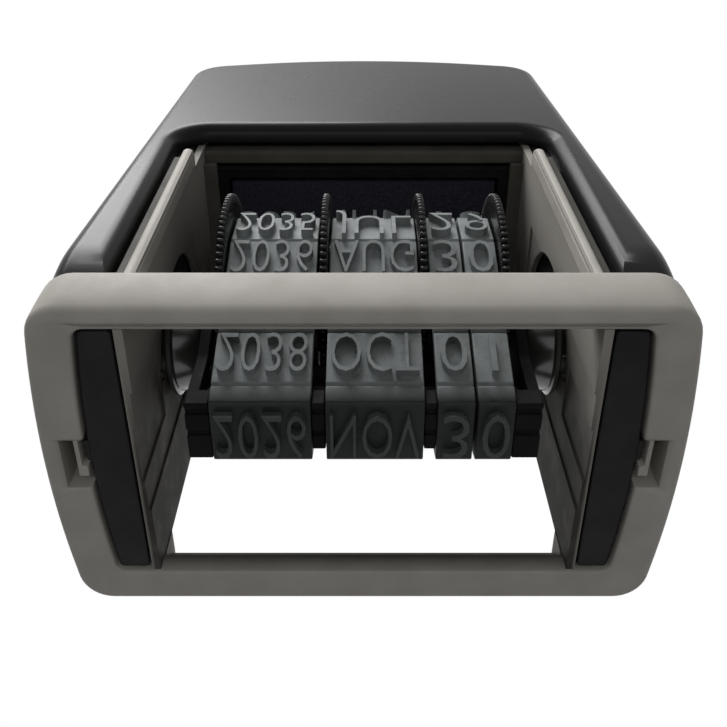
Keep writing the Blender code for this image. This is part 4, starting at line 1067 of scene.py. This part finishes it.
def pad_place(u, v):
    """The point of the pad's lower face at these shares from -1 to 1, crowned and faintly rippled."""
    centre = (PAD_LOW + PAD_HIGH) / 2
    half = (PAD_HIGH - PAD_LOW) / 2
    crown = (1 - abs(u) ** PAD_CROWN_POWER) * (1 - abs(v) ** PAD_CROWN_POWER)
    ripple = PAD_RIPPLE * math.sin(37 * u + 11 * v) * math.sin(23 * v - 7 * u)
    z = PAD_LOW.z + PAD_CROWN * (1 - crown * (PAD_CROWN_SHARE + ripple))
    return centre.x + half.x * u, centre.y + half.y * v, z


def make_pad(finish):
    """The felt pad: a slab whose lower face is slightly crowned and worn by the type."""
    shape = bmesh.new()
    grid = []
    for row in range(PAD_ROWS + 1):
        v = 2 * row / PAD_ROWS - 1
        places = [pad_place(2 * column / PAD_COLUMNS - 1, v) for column in range(PAD_COLUMNS + 1)]
        grid.append([shape.verts.new(place) for place in places])
    for low, high in zip(grid, grid[1:]):
        for column in range(PAD_COLUMNS):
            shape.faces.new((low[column], low[column + 1], high[column + 1], high[column]))
    rim = [edge for edge in shape.edges if edge.is_boundary]
    grown = bmesh.ops.extrude_edge_only(shape, edges=rim)
    top = [item for item in grown["geom"] if isinstance(item, bmesh.types.BMVert)]
    for vert in top:
        vert.co.z = PAD_HIGH.z
    bmesh.ops.contextual_create(shape, geom=[edge for edge in shape.edges if edge.is_boundary])
    pad = tray_piece("felt_pad", shape, finish, "ink_pad", slot="inked_felt", sharp=50)


def make_spring(finish):
    """The return spring as one round wire with ground ends."""
    radius = (SPRING_HIGH.x - SPRING_LOW.x) / 2 - WIRE_RADIUS
    foot = SPRING_LOW.z + WIRE_RADIUS
    head = SPRING_HIGH.z - WIRE_RADIUS
    count = SPRING_TURNS * SPRING_POINTS_PER_TURN
    curve = bpy.data.curves.new("coil_spring", "CURVE")
    curve.dimensions = "3D"
    spline = curve.splines.new("POLY")
    spline.points.add(count)
    for step, point in enumerate(spline.points):
        turn = math.tau * step / SPRING_POINTS_PER_TURN
        share = step / count
        point.co = (radius * math.cos(turn), radius * math.sin(turn), foot + (head - foot) * share, 1)
    curve.bevel_depth = WIRE_RADIUS
    curve.bevel_resolution = 4
    curve.use_fill_caps = True
    curve.materials.append(finish)
    spring = place_object("coil_spring", curve)
    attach(spring, "foot")
    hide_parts("return_spring")


# Date unit

def cheek_outline():
    """A narrow plate with a round head over the wheel axle."""
    side = [
        (CHEEK_FOOT_HALF, CHEEK_FOOT_Z), (CHEEK_FOOT_HALF, CHEEK_NECK_Z), (CHEEK_HEAD_RADIUS, CHEEK_BODY_Z),
        (CHEEK_HEAD_RADIUS, WHEEL_Z + CHEEK_HEAD_RADIUS),
    ]
    corners = [(PIVOT_Y + y, z) for y, z in side] + [(PIVOT_Y - y, z) for y, z in reversed(side)]
    soft = [CHEEK_FOOT_CORNER, CHEEK_HEAD_RADIUS, CHEEK_HEAD_RADIUS, CHEEK_HEAD_RADIUS - RUNNING_GAP]
    return rounded(corners, soft + soft[::-1])


def make_cheeks(matte, gloss, metal):
    """The two side plates with their hubs, and the two rods that join them."""
    rod_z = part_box("tie_rod")[0].z + ROD_RADIUS
    for label, side in SIDES:
        low, high = across(side, CHEEK_INNER_X, CHEEK_OUTER_X)
        cuts = []
        for z, radius in ((WHEEL_Z, AXLE_RADIUS), (rod_z, ROD_RADIUS)):
            hole = circle((PIVOT_Y, z), radius + ROD_FIT)
            cuts.append(prism(hole, low - OVERRUN / 2, high + OVERRUN / 2, "X"))
        unit_piece(f"{label}_side_cheek", prism(cheek_outline(), low, high, "X"), matte, f"{label}_cheek",
                   cuts=cuts, bevel=CHEEK_ROUND)
        make_hub(label, side, gloss)
    low, high = -CHEEK_OUTER_X, CHEEK_OUTER_X
    axle = rod_shape(low, high, AXLE_RADIUS, PIVOT_Y, WHEEL_Z, ROD_CHAMFER)
    unit_piece("axle_rod", axle, metal, "wheel_axle", slot="spring_steel")
    unit_piece("brace_rod", rod_shape(low, high, ROD_RADIUS, PIVOT_Y, rod_z, ROD_CHAMFER), matte, "tie_rod")


def make_hub(label, side, gloss):
    """A pivot hub: a drum that widens to a thin rim by the wall, the pivot pin and the guide peg."""
    inner = CHEEK_OUTER_X + RUNNING_GAP
    outer = WALL_INNER_X - RUNNING_GAP
    neck = HUB_RADIUS - 0.75 * MM
    waist = HUB_RADIUS - 0.3 * MM
    profile = [
        (inner, 1.0 * MM), (inner, neck - 0.1 * MM), (inner + 0.1 * MM, neck), (outer - 0.55 * MM, waist),
        (outer - 0.45 * MM, HUB_RADIUS - 0.08 * MM), (outer - 0.38 * MM, HUB_RADIUS),
        (outer - 0.12 * MM, HUB_RADIUS), (outer, HUB_RADIUS - 0.12 * MM), (outer, 1.0 * MM),
    ]
    section = [(side * x, radius, 0) for x, radius in profile]
    hub = lathe(section, PIVOT_Y, PIVOT_Z)
    unit_piece(f"{label}_hub", hub, gloss, f"{label}_pivot_hub", sharp=40)
    low, high = across(side, inner + 0.1 * MM, LEG_INNER_X + PIN_REACH)
    unit_piece(f"{label}_pin", rod_shape(low, high, PIN_RADIUS, PIVOT_Y, PIVOT_Z, ROD_CHAMFER), gloss)
    peg = peg_place(0)
    low, high = across(side, outer - EMBED, WALL_OUTER_X - RUNNING_GAP)
    unit_piece(f"{label}_peg", rod_shape(low, high, PEG_RADIUS, peg.x, peg.y, PEG_CHAMFER), gloss)


def make_bridge(matte):
    """The bar behind the print face, and its comb between the bands."""
    reach = CHEEK_INNER_X - SEAT_GAP
    low_z = PRINT_FACE_Z + BAND_THICKNESS + SEAT_GAP
    core = oblong((-reach, reach), (PIVOT_Y - CORE_HALF, PIVOT_Y + CORE_HALF), (low_z, low_z + CORE_HEIGHT))
    unit_piece("bridge_core", core, matte, "print_bridge", bevel=BAR_ROUND)
    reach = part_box("print_bridge")[1].x
    bands = [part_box(f"date_band_{number}") for number in range(1, len(BAND_LABELS) + 1)]
    edges = [-reach, *(corner.x for band in bands for corner in band), reach]
    half = PRINT_FACE_DEPTH / 2 - COMB_INSET
    foot = PRINT_FACE_Z + COMB_INSET
    for number, (start, end) in enumerate(zip(edges[::2], edges[1::2])):
        if end - start < COMB_LEAST_WIDTH:
            continue
        low = start if number == 0 else start + COMB_GAP
        high = end if end == reach else end - COMB_GAP
        rear = PIVOT_Y + half - (0 if number == 0 or end == reach else COMB_SETBACK)
        tooth = oblong((low, high), (PIVOT_Y - half, rear), (foot, foot + COMB_HEIGHT))
        cuts = []
        for share in COMB_NOTCH_SHARES:
            middle = PIVOT_Y - half + 2 * half * share
            cuts.append(oblong((low - OVERRUN / 2, high + OVERRUN / 2),
                               (middle - COMB_NOTCH_HALF, middle + COMB_NOTCH_HALF),
                               (foot - OVERRUN / 2, foot + COMB_NOTCH_DEPTH)))
        unit_piece(f"bridge_tooth_{number + 1}", tooth, matte, cuts=cuts, bevel=LEDGE_ROUND)


def tooth_gap(step):
    """How deep the rim is cut at this step: nothing over a rounded rib, and full between two ribs."""
    place = (step % TOOTH_STEPS) / TOOTH_STEPS - 0.5
    rib = max(0.0, 1 - (place / TOOTH_SHARE) ** 2)
    return TOOTH_DEPTH * (1 - math.sqrt(rib))


def make_wheel(number, finish):
    """A thumb wheel: a ribbed disc with a raised rim on its face, and the drum inside its band."""
    low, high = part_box(f"thumb_wheel_{number}")
    on_left = low.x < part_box(f"date_band_{number}")[0].x
    outer = low.x if on_left else high.x
    step = 1 if on_left else -1
    drum_end = high.x if on_left else low.x
    thick = DISC_THICKNESS
    radius = DISC_RADIUS
    bore = AXLE_RADIUS + RUNNING_GAP
    root = radius - TOOTH_DEPTH
    profile = [
        (0.16 * MM, bore, 0), (0.16 * MM, radius - 2.7 * MM, 0), (0.02 * MM, radius - 2.5 * MM, 0),
        (0.0, radius - 2.3 * MM, 0), (0.0, radius - 1.5 * MM, 0), (0.14 * MM, radius - 1.3 * MM, 0),
        (0.14 * MM, root - 0.3 * MM, 0), (0.05 * MM, root - 0.1 * MM, 0), (0.04 * MM, radius - 0.12 * MM, 1),
        (0.14 * MM, radius, 1), (thick - 0.14 * MM, radius, 1), (thick - 0.04 * MM, radius - 0.12 * MM, 1),
        (thick - 0.03 * MM, root - 0.15 * MM, 0), (thick, root - 0.4 * MM, 0), (thick, DRUM_RADIUS, 0),
    ]
    section = [(outer + step * x, r, toothed) for x, r, toothed in profile]
    section += [(drum_end, DRUM_RADIUS, 0), (drum_end, bore, 0)]
    shape = lathe(section, PIVOT_Y, WHEEL_Z, DISC_TEETH * TOOTH_STEPS, tooth_gap)
    unit_piece(f"ribbed_wheel_{number}", shape, finish, f"thumb_wheel_{number}", body=f"wheel_{number}",
               sharp=60)


def band_loop():
    """The band's outer corners in order: up the rear run, over the wheel, down the front run."""
    half = PRINT_FACE_DEPTH / 2
    rise = WHEEL_Z - PRINT_FACE_Z
    reach = math.hypot(half, rise)
    lean = math.asin(BAND_WRAP_RADIUS / reach) - math.atan2(half, rise)
    run = math.sqrt(reach ** 2 - BAND_WRAP_RADIUS ** 2)
    facet = (run - BAND_CORNER) / RUN_FACETS
    corners = [(half, PRINT_FACE_Z)]
    for number in range(RUN_FACETS + 1):
        along = BAND_CORNER + facet * number
        corners.append((half + along * math.sin(lean), PRINT_FACE_Z + along * math.cos(lean)))
    sweep = math.pi + 2 * lean
    wrap = arc((0, WHEEL_Z), BAND_WRAP_RADIUS, -lean, -lean + sweep / 2, WRAP_FACETS // 2)
    corners += wrap[1:-1]
    loop = corners + wrap[-1:] + [(-y, z) for y, z in reversed(corners)]
    return [Vector((PIVOT_Y + y, z)) for y, z in loop]


def inset_loop(loop, offset):
    """The loop moved inwards by offset, each corner along its two faces' normals."""
    count = len(loop)
    moved = []
    for index, here in enumerate(loop):
        before = (here - loop[index - 1]).normalized()
        after = (loop[(index + 1) % count] - here).normalized()
        first = Vector((-before.y, before.x))
        second = Vector((-after.y, after.x))
        between = (first + second).normalized()
        moved.append(here + between * (offset / between.dot(first)))
    return moved


def band_outline(loop):
    """The band's outside, with a small groove at each edge between two date faces."""
    deep = inset_loop(loop, BAND_GROOVE_DEPTH)
    count = len(loop)
    points = []
    for index, here in enumerate(loop):
        back = (loop[index - 1] - here).normalized() * (BAND_GROOVE_WIDTH / 2)
        ahead = (loop[(index + 1) % count] - here).normalized() * (BAND_GROOVE_WIDTH / 2)
        if index in (0, count - 1):
            points += [here + back, here + ahead]
        else:
            points += [here + back, deep[index], here + ahead]
    return points


def label_mesh(text):
    """The text as a raised mesh, measured so that a face can fit it."""
    curve = bpy.data.curves.new("label", "FONT")
    curve.body = text
    curve.size = 1.0
    curve.resolution_u = 3
    curve.space_character = 1.02
    curve.offset = TYPE_STROKE
    curve.extrude = 0.5
    holder = place_object("label", curve)
    mesh = shown_mesh(holder)
    bpy.data.objects.remove(holder)
    bpy.data.curves.remove(curve)
    return mesh


def add_label(shape, text, centre, along, normal, width):
    """Puts one reversed raised label on a face of the band."""
    mesh = label_mesh(text)
    points = [vert.co for vert in mesh.vertices]
    low = Vector((min(p.x for p in points), min(p.y for p in points)))
    high = Vector((max(p.x for p in points), max(p.y for p in points)))
    cap = TYPE_CAP / FONT_CAP_SHARE
    fit_x = min(cap, (width - 2 * TYPE_MARGIN) / (high.x - low.x))
    middle = (low + high) / 2
    grown = bmesh.new()
    grown.from_mesh(mesh)
    for vert in grown.verts:
        x = (vert.co.x - middle.x) * fit_x
        up = (vert.co.y - middle.y) * cap
        out = TYPE_HEIGHT if vert.co.z > 0 else -TYPE_EMBED
        place = centre + along * up + normal * out
        vert.co = Vector((x, place.x, place.y))
    bmesh.ops.reverse_faces(grown, faces=grown.faces)
    temp = bpy.data.meshes.new("label_in_place")
    grown.to_mesh(temp)
    grown.free()
    shape.from_mesh(temp)
    bpy.data.meshes.remove(temp)
    bpy.data.meshes.remove(mesh)


def make_band(number, labels, rubber, type_rubber):
    """A date band with its grooves, and the raised reversed characters on its faces."""
    low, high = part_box(f"date_band_{number}")
    loop = band_loop()
    band = prism(band_outline(loop), low.x, high.x, "X")
    hollow = prism(inset_loop(loop, BAND_THICKNESS), low.x - OVERRUN / 2, high.x + OVERRUN / 2, "X")
    band_piece = partial(unit_piece, slot="slate_rubber", segments=2)
    band_piece(f"faceted_band_{number}", band, rubber, f"date_band_{number}", cuts=[hollow], bevel=BAND_ROUND)
    shape = bmesh.new()
    edges = zip(loop[-1:] + loop, loop)
    faces = [(start, end) for start, end in edges if (end - start).length > 2 * BAND_CORNER]
    for (start, end), text in zip(faces, labels):
        along = (end - start).normalized()
        add_label(shape, text, (start + end) / 2, along, Vector((along.y, -along.x)), high.x - low.x)
    bmesh.ops.translate(shape, verts=shape.verts, vec=Vector(((low.x + high.x) / 2, 0, 0)))
    bmesh.ops.remove_doubles(shape, verts=shape.verts, dist=MERGE_DISTANCE)
    band_piece(f"band_{number}_type", shape, type_rubber, bevel=TYPE_ROUND)


def make_date_unit(wheel, matte, gloss, rubber, type_rubber, metal):
    """The unit that turns over: cheeks, hubs, rods, bridge, thumb wheels and bands."""
    make_cheeks(matte, gloss, metal)
    make_bridge(matte)
    for number, labels in enumerate(BAND_LABELS, start=1):
        make_wheel(number, wheel)
        make_band(number, labels, rubber, type_rubber)


scene = bpy.context.scene
scene.view_settings.view_transform = "Standard"
make_camera()
make_light()
make_floor()
# Painted shade: this near-black brown grey stands for the grey plastic in shadow, on the flanges, ledges,
# crossbars, deck, ribs and spring post
shade_painted_grey = plastic("inked_grey_plastic", (0.075, 0.072, 0.062), (0.10, 0.096, 0.084), (0.5, 0.62), 0.03)
grey_plastic = plastic("warm_grey_plastic", (0.47, 0.445, 0.405), (0.53, 0.505, 0.465), (0.45, 0.58), 0.06)
gloss_plastic = plastic("gloss_black_plastic", grey(0.012), grey(0.014), (0.27, 0.29), 0.062,
                        GLOSS_GRAIN, GLOSS_GRAIN_SCALE, cloud=160.0)
hub_plastic = plastic("hub_black_plastic", (0.045, 0.045, 0.043), (0.065, 0.065, 0.062), (0.18, 0.26), 0.7,
                      HUB_GRAIN)
wheel_plastic = plastic("wheel_black_plastic", grey(0.012), grey(0.022), (0.2, 0.3), 0.2, WHEEL_GRAIN)
satin_plastic = plastic("satin_black_plastic", grey(0.014), grey(0.026), (0.28, 0.42), 0.07, BLACK_GRAIN)
matte_plastic = plastic("matte_black_plastic", grey(0.007), grey(0.014), (0.5, 0.65), 0.03, BLACK_GRAIN)
# The side walls' inner faces get painted shade that darkens towards the rear
make_foot(grey_plastic, shade_painted_grey, inked_wall("inked_wall_plastic", (0.37, 0.35, 0.32), (0.06, 0.057, 0.05)))
make_cover(gloss_plastic, satin_plastic)
make_tray(matte_plastic)
make_pad(felt())
drawn_steel = steel()
make_spring(drawn_steel)
make_date_unit(wheel_plastic, matte_plastic, hub_plastic, band_rubber("band_rubber", 0.09),
               band_rubber("type_rubber", 0.34), drawn_steel)
